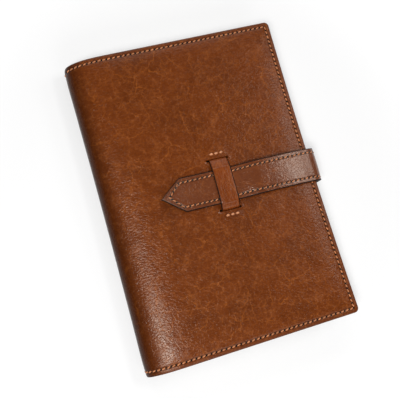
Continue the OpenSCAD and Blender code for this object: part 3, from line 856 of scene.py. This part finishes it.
def edge_material(name, tone):
    """Burnished and painted cut edge of leather: dull, with a faint fibre along it."""
    n = Nodes(name)
    flat = n.scaled(n.fact("flat"), 1000.0)
    fibre = n.noise(flat, 1.3, 3, 0.7)["Fac"]
    dull = (tone[0] * 1.9, tone[1] * 1.8, tone[2] * 1.7, 1.0)
    colour = n.blend(n.math("MULTIPLY", n.ramp(fibre, 0.45, 0.75), 0.6), tone, dull)
    normal = n.bump(fibre, 0.00008, 0.6)
    return n.finish(Base_Color=colour, Roughness=0.62, Normal=normal, Specular_IOR_Level=0.12)


def dress(obj, material, second=None):
    """Gives a piece its material, and its second one if it has one, else the first again."""
    obj.data.materials.append(material)
    obj.data.materials.append(second or material)
    return obj


def shared(name, make):
    """A material that several pieces share, made once."""
    return bpy.data.materials.get(name) or make()


def cut_edge(name, tone):
    """The finish of a cut edge, made once for each tone."""
    return shared(name, lambda: edge_material(name, tone))


def waxed_thread(finish):
    """The thread of all seams but the keeper's."""
    return shared("waxed_thread", lambda: thread_material("waxed_thread", finish, finish.thread))


def hide(name, finish, base, edge, **looks):
    """A leather, made once for all the pieces that share it."""
    tones = (base, finish.leather_dark, finish.leather_light)
    return shared(name, lambda: leather_material(name, finish, tones, edge, **looks))


def outer_leather(finish):
    # spine sets the painted shade towards the spine
    return hide("oiled_cover_hide", finish, finish.leather, finish.leather_edge, spine=0.85)


def spine_leather(finish):
    """The same hide with the same painted shade towards the spine, made dull on the steep part of the spine.
    """
    return hide("dull_spine_hide", finish, finish.leather, finish.leather_edge, shine=0.12, spine=0.85)


def keeper_leather(finish):
    return hide("keeper_hide", finish, finish.keeper, finish.leather_edge, seams=False)


def strap_leather(finish):
    looks = {"gloss": 0.23, "shine": 0.7, "variation": 0.5, "wrinkles": 0.5}
    return hide("smooth_strap_hide", finish, finish.strap, finish.strap_edge, **looks)


def inner_leather(finish):
    looks = {"gloss": 0.6, "shine": 0.15, "variation": 0.3, "wrinkles": 0.5}
    return hide("lining_hide", finish, finish.lining, finish.leather_edge, **looks)


class PLANNER_OT_cover(bpy.types.Operator):
    """Builds the outer leather of both covers and the spine"""

    bl_idname = "planner.cover"
    bl_label = "Cover leather"

    def execute(self, context):
        finish = settings(context)[4]
        for side, front in (("front", True), ("back", False)):
            obj = leather_half(f"cover_{side}_leather", context, front)
            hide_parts(f"{side}_leather", "spine_leather")
            bend_cover(obj, front)
            burnished = cut_edge("burnished_edge", finish.leather_edge)
            dress(obj, outer_leather(finish), burnished)
            obj.data.materials.append(spine_leather(finish))
        return {"FINISHED"}


class PLANNER_OT_threads(bpy.types.Operator):
    """Builds the stitches of the covers and the spine"""

    bl_idname = "planner.threads"
    bl_label = "Cover stitches"

    def execute(self, context):
        finish = settings(context)[4]
        for side, front in (("front", True), ("back", False)):
            obj = cover_threads(f"{side}_threads", context, front)
            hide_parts(f"{side}_stitches", "spine_stitches")
            bend_cover(obj, front)
            dress(obj, waxed_thread(finish))
        return {"FINISHED"}


def lining_path(shape, depth, near, front):
    """Inside path of the lining: under the leather on the spine, then straight under the board."""
    path = shape.path(front, near)
    height = path[:, 1] if front else COVER_T - path[:, 1]
    limit = COVER_T - depth
    keep = path[height < limit]
    level = limit if front else depth
    return np.vstack([keep, [[keep[-1][0] + 1 * MM, level], [COVER_W - LINING_INSET, level]]])


class PLANNER_OT_lining(bpy.types.Operator):
    """Builds the lining of the covers and the spine"""

    bl_idname = "planner.lining"
    bl_label = "Lining"

    def execute(self, context):
        cover, _, _, _, finish, _ = settings(context)
        shape = SpineShape(cover)
        top = cover.leather_t + cover.board_t
        for side, front in (("front", True), ("back", False)):
            sheets = []
            for extra in (0.0, cover.lining_t):
                path = lining_path(shape, top + extra, cover.leather_t + extra, front)
                s = np.linspace(0, path_lengths(path)[-1], 190)
                at, _ = along(path, s)
                zone = (COVER_H / 2 - 4 * MM, COVER_H / 2, 0.5 * MM)
                y_lines = mirrored(ruled(0, COVER_H / 2 - LINING_INSET, 4 * MM, [zone]))
                x, z = spread(at, len(y_lines))
                y = np.repeat(y_lines[None], len(s), 0)
                x = round_corners(cover, x, y)
                sheets.append(drawn_in(cover, np.stack([x, y, z], -1)))
            s_grid = np.repeat(s[:, None], len(y_lines), 1)
            flat = np.stack([s_grid + 0.5, sheets[0][..., 1], np.zeros_like(s_grid)], -1)
            obj = shell(f"cover_{side}_lining", sheets[0], sheets[1], hide_facts(flat), flip=not front)
            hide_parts(f"{side}_lining", "spine_lining")
            bend_cover(obj, front)
            dress(obj, inner_leather(finish))
        return {"FINISHED"}


class PLANNER_OT_sleeves(bpy.types.Operator):
    """Builds the two inside sleeves that hold the refill's covers"""

    bl_idname = "planner.sleeves"
    bl_label = "Sleeves"

    def execute(self, context):
        cover, seam, _, _, finish, _ = settings(context)
        mouth_x = COVER_W - cover.sleeve_w
        rim = seam.inset + seam.thread_d / 2
        base = cover.leather_t + cover.board_t + cover.lining_t
        for side in ("front", "back"):
            x_lines = ruled(
                mouth_x, COVER_W - LINING_INSET, 2.5 * MM,
                [(COVER_W - 7 * MM, COVER_W, 0.6 * MM), (mouth_x, mouth_x + 3 * MM, 0.5 * MM)],
            )
            zone = (COVER_H / 2 - 7 * MM, COVER_H / 2, 0.6 * MM)
            y_lines = mirrored(ruled(0, COVER_H / 2 - LINING_INSET, 3 * MM, [zone]))
            x, y = np.meshgrid(x_lines, y_lines, indexing="ij")
            d = soft_least(COVER_W - x, COVER_H / 2 - np.abs(y))
            x = round_corners(cover, x, y)
            raised = smooth((d - rim + 0.6 * MM) / (1.6 * MM))
            under = base + (cover.card_t + 0.02 * MM) * raised
            mouth = 1 - smooth((x - mouth_x) / (0.6 * MM))
            worn = 0.35 * MM * np.clip(1 - d / (0.8 * MM), 0, 1) ** 2
            over = under + cover.sleeve_t - 0.3 * MM * mouth - worn
            if side == "front":
                under, over = COVER_T - under, COVER_T - over
            low = drawn_in(cover, np.stack([x, y, under], -1))
            high = drawn_in(cover, np.stack([x, y, over], -1))
            flat = np.stack([x + 0.9, y, np.zeros_like(x)], -1)
            # the cover's seam, from beyond the sleeve's mouth round the fore-edge and back
            near, far, side_y = mouth_x - 9 * MM, COVER_W - seam.inset, COVER_H / 2 - seam.inset
            seam_path = [(near, -side_y), (far, -side_y), (far, side_y), (near, side_y)]
            marks = seam_facts(np.stack([x, y], -1), seam_path, seam.pitch)
            edge = np.clip(1 - (x - mouth_x) / (0.5 * MM), 0, 1)
            facts = hide_facts(flat, (marks, marks), (edge, edge))
            obj = shell(f"{side}_pocket", high, low, facts, flip=side == "front")
            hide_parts(f"{side}_sleeve")
            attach(obj, side)
            dress(obj, inner_leather(finish))
        return {"FINISHED"}


class StrapShape:
    """The strap in its own frame: X from the fore-edge, negative towards its tip, Y across it, Z up."""

    def __init__(self, strap, cover):
        self.p, self.cover = strap, cover
        self.z = COVER_T + strap.gap
        self.length = COVER_W - strap.tip_x
        self.thick = strap.face_t + strap.lining_t

    def lift(self, x):
        run = (-x - self.p.rise_x) / (self.length - self.p.rise_x)
        return self.p.tip_rise * np.maximum(0, run) ** 2

    def path(self):
        """Inner line from the seam up the fore-edge, over it and along the cover to the tip."""
        p, foot = self.p, self.p.foot_r
        low = self.cover.leather_t + self.cover.board_t
        tongue = np.stack([np.linspace(-3.6 * MM, p.edge_gap - foot, 8), np.full(8, low)], -1)
        a = np.radians(np.linspace(-90, 0, 12)[1:])
        turn = np.stack([p.edge_gap - foot + foot * np.cos(a), low + foot + foot * np.sin(a)], -1)
        foot_z = self.z - p.bend_h
        rise = np.stack([np.full(12, p.edge_gap), np.linspace(turn[-1][1], foot_z, 14)[1:-1]], -1)
        # a tight bend over the fore-edge, then a long ease down to the flat of the cover
        b = np.linspace(0, math.pi / 2 - p.lean - p.shoulder, 30)
        bend = np.stack([p.edge_gap - p.bend_r * (1 - np.cos(b)), foot_z + p.bend_r * np.sin(b)], -1)
        steps = 100
        step = p.ease / steps
        t = (np.arange(steps) + 0.5) / steps
        slope = p.lean * (1 - t) ** 1.2 + p.shoulder * np.exp(-t * p.ease / p.shoulder_l)
        ease = bend[-1] + np.cumsum(np.stack([-np.cos(slope), np.sin(slope)], -1) * step, 0)
        x = np.linspace(ease[-1][0], -self.length, 160)[1:]
        swell = (ease[-1][1] - self.z) * smooth((x - ease[-1][0] + 21 * MM) / (21 * MM))
        run = np.stack([x, self.z + swell + self.lift(x)], -1)
        return np.vstack([tongue, turn, rise, bend, ease, run])

    @staticmethod
    def skive(s):
        """Share of the full thickness: the leather is pared thin where it is sewn in."""
        return 0.28 + 0.72 * smooth((s - 1.5 * MM) / (4 * MM))

    def half_width(self, x):
        p = self.p
        shoulder = -self.length + p.point_l
        body = np.interp(x, [shoulder, 0], [p.tip_w / 2, p.root_w / 2])
        point = p.tip_w / 2 * np.clip((x + self.length) / p.point_l, 0.012, 1)
        return np.minimum(body, point)

    def edge_distance(self, x, y):
        """Distance in from the strap's outline."""
        p = self.p
        slope = math.atan2(p.tip_w / 2, p.point_l)
        from_side = np.interp(x, [-self.length + p.point_l, 0], [p.tip_w / 2, p.root_w / 2]) - np.abs(y)
        from_point = ((x + self.length) * math.tan(slope) - np.abs(y)) * math.cos(slope)
        return np.minimum(from_side, from_point)

    def place(self, points):
        """From the strap's frame to distances from the spine."""
        x, y = turned(points[..., 0], points[..., 1], self.p.skew)
        return np.stack([COVER_W + x, y - self.p.shift, points[..., 2]], -1)


def across_lines(rim, count):
    """Grid lines across a strip from -1 to 1: close together at its rims, even between them."""
    rim = np.array(rim)
    return np.concatenate([rim, np.linspace(-0.86, 0.86, count), -rim[::-1]])


def strap_sheet(shape, s_lines, v_lines, depth_of):
    """Grid of points on the strap at a depth out from its inner line."""
    path = shape.path()
    at, tangent = along(path, s_lines)
    normal = np.stack([tangent[:, 1], -tangent[:, 0]], -1)
    (x, z), (nx, nz) = spread(at, len(v_lines)), spread(normal, len(v_lines))
    y = shape.half_width(x) * v_lines[None]
    d = shape.edge_distance(np.minimum(x, 0), y)
    depth = depth_of(x, y, d, s_lines[:, None])
    return np.stack([x + nx * depth, y, z + nz * depth], -1), x, y, d


def bend_strap(obj):
    """Bakes the placement of a piece of the strap into its mesh."""
    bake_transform(obj)


class PLANNER_OT_strap(bpy.types.Operator):
    """Builds the strap: face, lining and stitches"""

    bl_idname = "planner.strap"
    bl_label = "Strap"

    def execute(self, context):
        cover, seam, strap, _, finish, _ = settings(context)
        shape = StrapShape(strap, cover)
        total = path_lengths(shape.path())[-1]
        point_start = total - strap.point_l
        s_lines = ruled(0, total, 0.9 * MM, [(0, 34 * MM, 0.6 * MM), (point_start - 1 * MM, total, 0.4 * MM)])
        v_lines = across_lines((-1, -0.985, -0.955, -0.91), 41)

        def top(x, y, d, s):
            crown = 0.35 * MM * (1 - (y / (strap.root_w / 2)) ** 2)
            groove = 0.16 * MM * np.exp(-(((d - strap.seam_inset) / (0.6 * MM)) ** 2))
            round_off = 0.3 * MM * np.clip(1 - d / (0.7 * MM), 0, 1) ** 2
            wave = 0.05 * MM * slow_wave(x + 0 * y, y, 14 * MM, 21.0) * smooth(d / (3 * MM))
            return shape.skive(s) * (shape.thick - 0.1 * MM + crown - groove - round_off + wave)

        def middle(x, y, d, s):
            return shape.skive(s) * strap.lining_t + 0 * x

        def bottom(x, y, d, s):
            return 0.12 * MM * np.clip(1 - d / (1.0 * MM), 0, 1) ** 2

        outer, x, y, d = strap_sheet(shape, s_lines, v_lines, top)
        split = strap_sheet(shape, s_lines, v_lines, middle)[0]
        inner = strap_sheet(shape, s_lines, v_lines, bottom)[0]
        s_grid = np.repeat(s_lines[:, None], len(v_lines), 1)
        flat = np.stack([s_grid + 0.4, y + 0.2, np.zeros_like(y)], -1)
        seam_path = self.seam_path(shape, total)
        marks = seam_facts(np.stack([s_grid, y], -1), seam_path, seam.pitch)
        edge = rubbed_edge(d, 1.6 * MM)
        one = np.ones_like(x)
        off = marks + [0, NO_SEAM, 0]
        face = shell(
            "strap_face_leather", shape.place(outer), shape.place(split),
            hide_facts(flat, (marks, off), (edge, one)), flip=True,
        )
        paint_rim(face, len(s_lines), len(v_lines), 2)
        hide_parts("strap_root_face", "strap_face")
        back = shell(
            "strap_back_leather", shape.place(split), shape.place(inner),
            hide_facts(flat, (off, marks), (one, edge)), flip=True,
        )
        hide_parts("strap_root_lining", "strap_lining")
        frames = self.stitch_frames(shape, seam_path, seam, top)
        threads = thread_piece("strap_threads", frames, (seam.stitch_l * 0.95, seam.thread_d * 0.86), 3)
        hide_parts("strap_root_stitches", "strap_stitches")
        for obj in (face, back, threads):
            bend_strap(obj)
        painted = cut_edge("painted_strap_edge", finish.strap_edge)
        dress(face, strap_leather(finish), painted)
        dress(back, inner_leather(finish), painted)
        dress(threads, waxed_thread(finish))
        return {"FINISHED"}

    @staticmethod
    def seam_path(shape, total):
        """The seam in flat coordinates: along one side, round the point, and back."""
        p = shape.p
        slope = math.atan2(p.tip_w / 2, p.point_l)
        inset = p.seam_inset
        tip = total - inset / math.sin(slope)
        side = p.tip_w / 2 - inset
        shoulder = total - p.point_l + inset * math.tan(slope / 2)
        root = p.root_w / 2 - inset
        return [(4 * MM, -root), (shoulder, -side), (tip, 0.0), (shoulder, side), (4 * MM, root)]

    @staticmethod
    def stitch_frames(shape, seam_path, seam, top):
        """Places of the strap's stitches, on its face and on its back."""
        flat = np.array(seam_path)
        lengths = path_lengths(flat)
        path = shape.path()
        frames = []
        for i in range(int(lengths[-1] / seam.pitch)):
            p, direction = along(flat, np.array([(i + 0.5) * seam.pitch]))
            s, y = p[0]
            at, tangent = along(path, np.array([s]))
            x = np.array([[at[0][0]]])
            across = np.array([[y]])
            d = shape.edge_distance(np.minimum(x, 0), across)
            normal = np.array([tangent[0][1], 0, -tangent[0][0]])
            run_s, run_y = direction[0]
            run = np.array([tangent[0][0] * run_s, run_y, tangent[0][1] * run_s])
            base = np.array([at[0][0], y, at[0][1]])
            depth = float(top(x, across, d, s)[0][0])
            for level, up in ((depth, normal), (0.0, -normal)):
                place = base + normal * level
                ahead = place + slanted(run, up, seam.slant) * MM
                ends = shape.place(np.stack([place, ahead, place + up * MM]))
                frames.append((ends[0], ends[1] - ends[0], ends[2] - ends[0]))
        return frames


class PLANNER_OT_keeper(bpy.types.Operator):
    """Builds the keeper loop and its stitches"""

    bl_idname = "planner.keeper"
    bl_label = "Keeper"

    def execute(self, context):
        cover, seam, strap, keeper, finish, _ = settings(context)
        h = keeper.span / 2
        shape = StrapShape(strap, cover)
        middle = -strap.shift + (COVER_W - keeper.place_x) * math.sin(-strap.skew) - keeper.place_y
        hug = 11.9 * MM  # from the strap's middle to where the keeper bends over its edge
        low, high = middle - hug, middle + hug
        top = shape.z + shape.thick + 0.42 * MM
        corners = np.array([
            [-h + 0.2 * MM, COVER_T - 1.5 * MM], [-h + 0.25 * MM, COVER_T - 0.1 * MM],
            [-h + 0.7 * MM, COVER_T + 0.9 * MM], [low - 0.5 * MM, top - 0.75 * MM],
            [low + 1.6 * MM, top - 0.05 * MM], [0.5 * (low + high), top + 0.2 * MM],
            [high - 1.6 * MM, top - 0.05 * MM], [high + 1.2 * MM, top - 0.75 * MM],
            [h - 1.4 * MM, COVER_T + 0.75 * MM], [h - 0.3 * MM, COVER_T - 0.05 * MM],
            [h - 0.2 * MM, COVER_T - 1.5 * MM],
        ])
        path = rounded(corners, 9)
        total = path_lengths(path)[-1]
        s_lines = np.linspace(0, total, 110)
        v_lines = across_lines((-1, -0.975, -0.93), 17)
        at, tangent = along(path, s_lines)
        normal = np.stack([-tangent[:, 1], tangent[:, 0]], -1)
        half = keeper.width / 2
        x = np.repeat(v_lines[None] * half, len(s_lines), 0)
        s = np.repeat(s_lines[:, None], len(v_lines), 1)
        d = half - np.abs(x)
        wave = 0.12 * MM * slow_wave(x, s, 9 * MM, 31.0)
        grids = []
        rim = np.clip(1 - d / MM, 0, 1) ** 2
        crown = 0.12 * MM * (1 - (x / half) ** 2)
        for depth in (keeper.thickness + crown - 0.5 * MM * rim + wave, 0.1 * MM * rim):
            y = at[:, :1] + normal[:, :1] * depth
            z = at[:, 1:] + normal[:, 1:] * depth
            px, py = turned(x, y, strap.skew)
            grids.append(np.stack([keeper.place_x + px, keeper.place_y + py, z], -1))
        flat = np.stack([0.5 * s + 0.15, x + 0.35, np.zeros_like(x)], -1)
        # along the keeper's sides the dark band is partly its burnished edge and partly painted shadow where
        # it stands off the cover and the strap
        edge = np.maximum(rubbed_edge(d, 1.4 * MM), np.clip(2 * (1 - d / (0.6 * MM)), 0, 1))
        facts = hide_facts(flat, edge=(edge, np.ones_like(x)))
        loop = shell("keeper_loop", grids[0], grids[1], facts, flip=True)
        paint_rim(loop, len(s_lines), len(v_lines), 2)
        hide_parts("keeper")
        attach(loop, "front")
        painted = cut_edge("painted_strap_edge", finish.strap_edge)
        dress(loop, keeper_leather(finish), painted)
        frames = []
        up = (0, 0, 1)
        run = slanted((*turned(1, 0, strap.skew), 0), up, math.radians(6))
        for side in (-1, 1):
            for i in (-1, 0, 1):
                px, py = turned(i * seam.pitch, side * (h + keeper.thickness / 2 + keeper.seam), strap.skew)
                place = (keeper.place_x + px, keeper.place_y + py, COVER_T + 0.7 * MM)
                frames.append((place, run, up))
        threads = thread_piece("keeper_threads", frames, (keeper.stitch_l, keeper.thread_d), 4)
        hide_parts("keeper_stitches")
        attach(threads, "front")
        dress(threads, thread_material("keeper_thread", finish, finish.keeper_thread))
        return {"FINISHED"}


def rounded(corners, steps):
    """Smooth path through corner points."""
    points = np.vstack([2 * corners[0] - corners[1], corners, 2 * corners[-1] - corners[-2]])
    path = []
    for a, b, c, d in zip(points[:-3], points[1:-2], points[2:-1], points[3:]):
        for t in np.arange(steps) / steps:
            path.append(0.5 * (2 * b + (c - a) * t + (2 * a - 5 * b + 4 * c - d) * t**2
                               + (3 * b - a - 3 * c + d) * t**3))
    path.append(corners[-1])
    return np.array(path)


class PLANNER_OT_refill(bpy.types.Operator):
    """Builds the refill: its block of pages, card covers and spine tape"""

    bl_idname = "planner.refill"
    bl_label = "Refill"

    def execute(self, context):
        finish = settings(context)[4]
        self.pages(finish)
        paper = card_material("black_card", finish.card, finish.leather_dark, 0.6)
        for node, body, slot in (
            ("refill_back_cover", "back", "card"), ("refill_front_cover", "front", "card"),
            ("refill_spine_tape", "back", "tape"),
        ):
            obj = self.slab(node.replace("refill_", "refill_piece_"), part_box(node), 2.2 * MM)
            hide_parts(node)
            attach(obj, body)
            dress(obj, paper)
        return {"FINISHED"}

    @staticmethod
    def outline(low, high, radius, inset):
        """Rounded outline of a sheet, set in by inset."""
        points = []
        for cx, cy, start in (
            (high[0], high[1], 0), (low[0], high[1], 90), (low[0], low[1], 180), (high[0], low[1], 270),
        ):
            sx, sy = (1 if cx == high[0] else -1), (1 if cy == high[1] else -1)
            r = max(radius - inset, 0.05 * MM)
            for a in np.radians(np.linspace(start, start + 90, 7)):
                x = cx - sx * (inset + r) + r * math.cos(a)
                y = cy - sy * (inset + r) + r * math.sin(a)
                points.append((x, y))
        return points

    def slab(self, name, box, radius):
        """A thin sheet with rounded corners and softened edges."""
        low, high = box
        thick = min(high[k] - low[k] for k in range(3))
        soft = min(0.15 * MM, 0.3 * thick)
        radius = min(radius, 0.4 * (high[0] - low[0]))
        rings = [(soft, low[2]), (0, low[2] + soft), (0, high[2] - soft), (soft, high[2])]
        points, faces = [], []
        for inset, z in rings:
            points += [(x, y, z) for x, y in self.outline(low, high, radius, inset)]
        count = len(points) // len(rings)
        for i in range(len(rings) - 1):
            for j in range(count):
                k = (j + 1) % count
                faces.append((i * count + j, i * count + k, (i + 1) * count + k, (i + 1) * count + j))
        faces.append(tuple(range(count - 1, -1, -1)))
        faces.append(tuple((len(rings) - 1) * count + j for j in range(count)))
        return new_mesh(name, points, faces, sharp=40, origin=(0, 0, 0))

    def pages(self, finish):
        """The page block: leaves that are not quite level at the edges, with one flat page on top."""
        low, high = PAGES_BOX
        levels = 72
        rng = np.random.default_rng(5)
        points, flat, faces = [], [], []
        count = 28
        for i in range(levels):
            z = low[2] + (high[2] - low[2]) * i / (levels - 1)
            inset = abs(rng.normal(0, 0.09)) * MM if 0 < i < levels - 1 else 0.05 * MM
            ring = self.outline(low, high, 3.0 * MM, inset)
            points += [(x, y, z) for x, y in ring]
            flat += [(x, y, z) for x, y in ring]
        for i in range(levels - 1):
            for j in range(count):
                k = (j + 1) % count
                faces.append((i * count + j, i * count + k, (i + 1) * count + k, (i + 1) * count + j))
        faces.append(tuple(range(count - 1, -1, -1)))
        faces.append(tuple((levels - 1) * count + j for j in range(count)))
        obj = new_mesh("pages", points, faces, {"flat": np.array(flat)}, sharp=30, origin=(0, 0, 0), walls=2)
        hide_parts("page_block")
        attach(obj, "back")
        dress(obj, paper_material(finish, False), paper_material(finish, True))


class PLANNER_OT_boards(bpy.types.Operator):
    """Finishes the boards that are hidden inside the covers"""

    bl_idname = "planner.boards"
    bl_label = "Boards"

    def execute(self, context):
        finish = settings(context)[4]
        material = card_material("grey_board", finish.board, finish.paper, 0.9)
        for node in ("front_board", "back_board"):
            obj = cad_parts[node]
            for slot in obj.material_slots:
                slot.material = material
        return {"FINISHED"}


class PLANNER_OT_stage(bpy.types.Operator):
    """Sets the pale floor, the soft lights and the camera"""

    bl_idname = "planner.stage"
    bl_label = "Stage"

    def execute(self, context):
        stage = settings(context)[5]
        self.floor(context, stage)
        self.world(context, stage)
        # name, place, target, size across and along, power
        for name, place, target, size, power in (
            ("left_softbox", (-0.34, -0.27, 0.80), (-0.06, -0.06, 0.02), (0.28, 0.20), 5.3),
            ("strip_softbox", (0.56, 0.11, 0.77), (0.06, 0.0, 0.02), (0.36, 0.13), 1.35),
            ("right_softbox", (0.82, 0.18, 0.60), (0.06, 0.0, 0.02), (0.36, 0.20), 1.2),
            ("near_softbox", (0.10, -0.85, 0.60), (0.0, 0.0, 0.02), (0.60, 0.30), 1.7),
            ("key_softbox", (0.10, 1.10, 0.66), (0.0, 0.0, 0.0), (1.10, 0.60), 3.7),
        ):
            self.lamp(context, name, place, target, size, power)
        self.camera(context, stage)
        context.scene.view_settings.view_transform = "Standard"
        return {"FINISHED"}

    @staticmethod
    def floor(context, stage):
        mesh = bpy.data.meshes.new("floor")
        h = stage.floor_size / 2
        mesh.from_pydata([(-h, -h, 0), (h, -h, 0), (h, h, 0), (-h, h, 0)], [], [(0, 1, 2, 3)])
        obj = bpy.data.objects.new("floor", mesh)
        context.collection.objects.link(obj)
        n = Nodes("pale_floor")
        matt = n.add("BsdfDiffuse", Color=(0.53, 0.53, 0.53, 1))
        path = n.add("LightPath")
        seen = n.math("MAXIMUM", path.outputs["Is Camera Ray"], n.math(
            "MAXIMUM", path.outputs["Is Glossy Ray"], path.outputs["Is Transmission Ray"]))
        # far from the planner, where the lamps don't reach, the floor is white of itself
        away = n.tree.nodes.new("ShaderNodeVectorMath")
        away.operation = "LENGTH"
        n.put(away, "i0", n.add("TexCoord").outputs["Object"])
        rest = n.math("MULTIPLY", n.ramp(away.outputs["Value"], 0.13, 0.4), 1 - stage.floor_glow)
        level = n.math("ADD", stage.floor_glow, rest)
        glow = n.add("Emission", Color=(1, 1, 1, 1), Strength=n.math("MULTIPLY", seen, level))
        both = n.add("AddShader", i0=matt.outputs[0], i1=glow.outputs[0])
        n.tree.links.new(both.outputs[0], n.out.inputs[0])
        mesh.materials.append(n.material)

    @staticmethod
    def world(context, stage):
        world = bpy.data.worlds.new("studio")
        world.use_nodes = True
        tree = world.node_tree
        tree.nodes.clear()
        out = tree.nodes.new("ShaderNodeOutputWorld")
        shade_node = tree.nodes.new("ShaderNodeBackground")
        shade_node.inputs["Color"].default_value = (1, 1, 1, 1)
        path = tree.nodes.new("ShaderNodeLightPath")
        level = tree.nodes.new("ShaderNodeMapRange")
        tree.links.new(path.outputs["Is Camera Ray"], level.inputs[0])
        level.inputs[3].default_value = stage.world
        level.inputs[4].default_value = 1.0
        tree.links.new(level.outputs[0], shade_node.inputs["Strength"])
        tree.links.new(shade_node.outputs[0], out.inputs[0])
        context.scene.world = world

    @staticmethod
    def lamp(context, name, place, target, size, power):
        data = bpy.data.lights.new(name, "AREA")
        data.shape = "RECTANGLE"
        data.size, data.size_y = size
        data.energy = power
        obj = bpy.data.objects.new(name, data)
        obj.location = place
        aim = Vector(target) - Vector(place)
        obj.rotation_euler = aim.to_track_quat("-Z", "Y").to_euler()
        context.collection.objects.link(obj)

    @staticmethod
    def camera(context, stage):
        data = bpy.data.cameras.new("camera")
        data.lens = stage.lens
        data.sensor_width = 36
        obj = bpy.data.objects.new("camera", data)
        right, up = Vector(stage.camera_right).normalized(), Vector(stage.camera_up)
        back = right.cross(up).normalized()
        up = back.cross(right)
        matrix = Matrix((right, up, back)).transposed().to_4x4()
        matrix.translation = Vector(stage.camera_place)
        obj.matrix_world = matrix
        context.collection.objects.link(obj)
        context.scene.camera = obj


class PLANNER_PT_panel(bpy.types.Panel):
    """Lists the planner's pieces"""

    bl_idname = "PLANNER_PT_panel"
    bl_label = "Leather planner"
    bl_space_type = "VIEW_3D"
    bl_region_type = "UI"
    bl_category = "Planner"

    def draw(self, context):
        for operator in OPERATORS:
            self.layout.operator(operator.bl_idname)
        for group in GROUPS:
            box = self.layout.box()
            box.label(text=group)
            values = getattr(context.scene, group)
            for key in values.bl_rna.properties.keys():
                if key not in ("rna_type", "name"):
                    box.prop(values, key)


GROUPS = {
    "planner_cover": PlannerCover,
    "planner_seam": PlannerSeam,
    "planner_strap": PlannerStrap,
    "planner_keeper": PlannerKeeper,
    "planner_finish": PlannerFinish,
    "planner_stage": PlannerStage,
}

OPERATORS = (
    PLANNER_OT_stage,
    PLANNER_OT_cover,
    PLANNER_OT_threads,
    PLANNER_OT_lining,
    PLANNER_OT_sleeves,
    PLANNER_OT_strap,
    PLANNER_OT_keeper,
    PLANNER_OT_refill,
    PLANNER_OT_boards,
)


def register():
    for cls in (*GROUPS.values(), *OPERATORS, PLANNER_PT_panel):
        bpy.utils.register_class(cls)
    for name, group in GROUPS.items():
        setattr(bpy.types.Scene, name, PointerProperty(type=group))


def unregister():
    for name in GROUPS:
        delattr(bpy.types.Scene, name)
    for cls in reversed((*GROUPS.values(), *OPERATORS, PLANNER_PT_panel)):
        bpy.utils.unregister_class(cls)


def main():
    register()
    for operator in OPERATORS:
        group, call = operator.bl_idname.split(".")
        getattr(getattr(bpy.ops, group), call)()


if __name__ == "__main__":
    main()
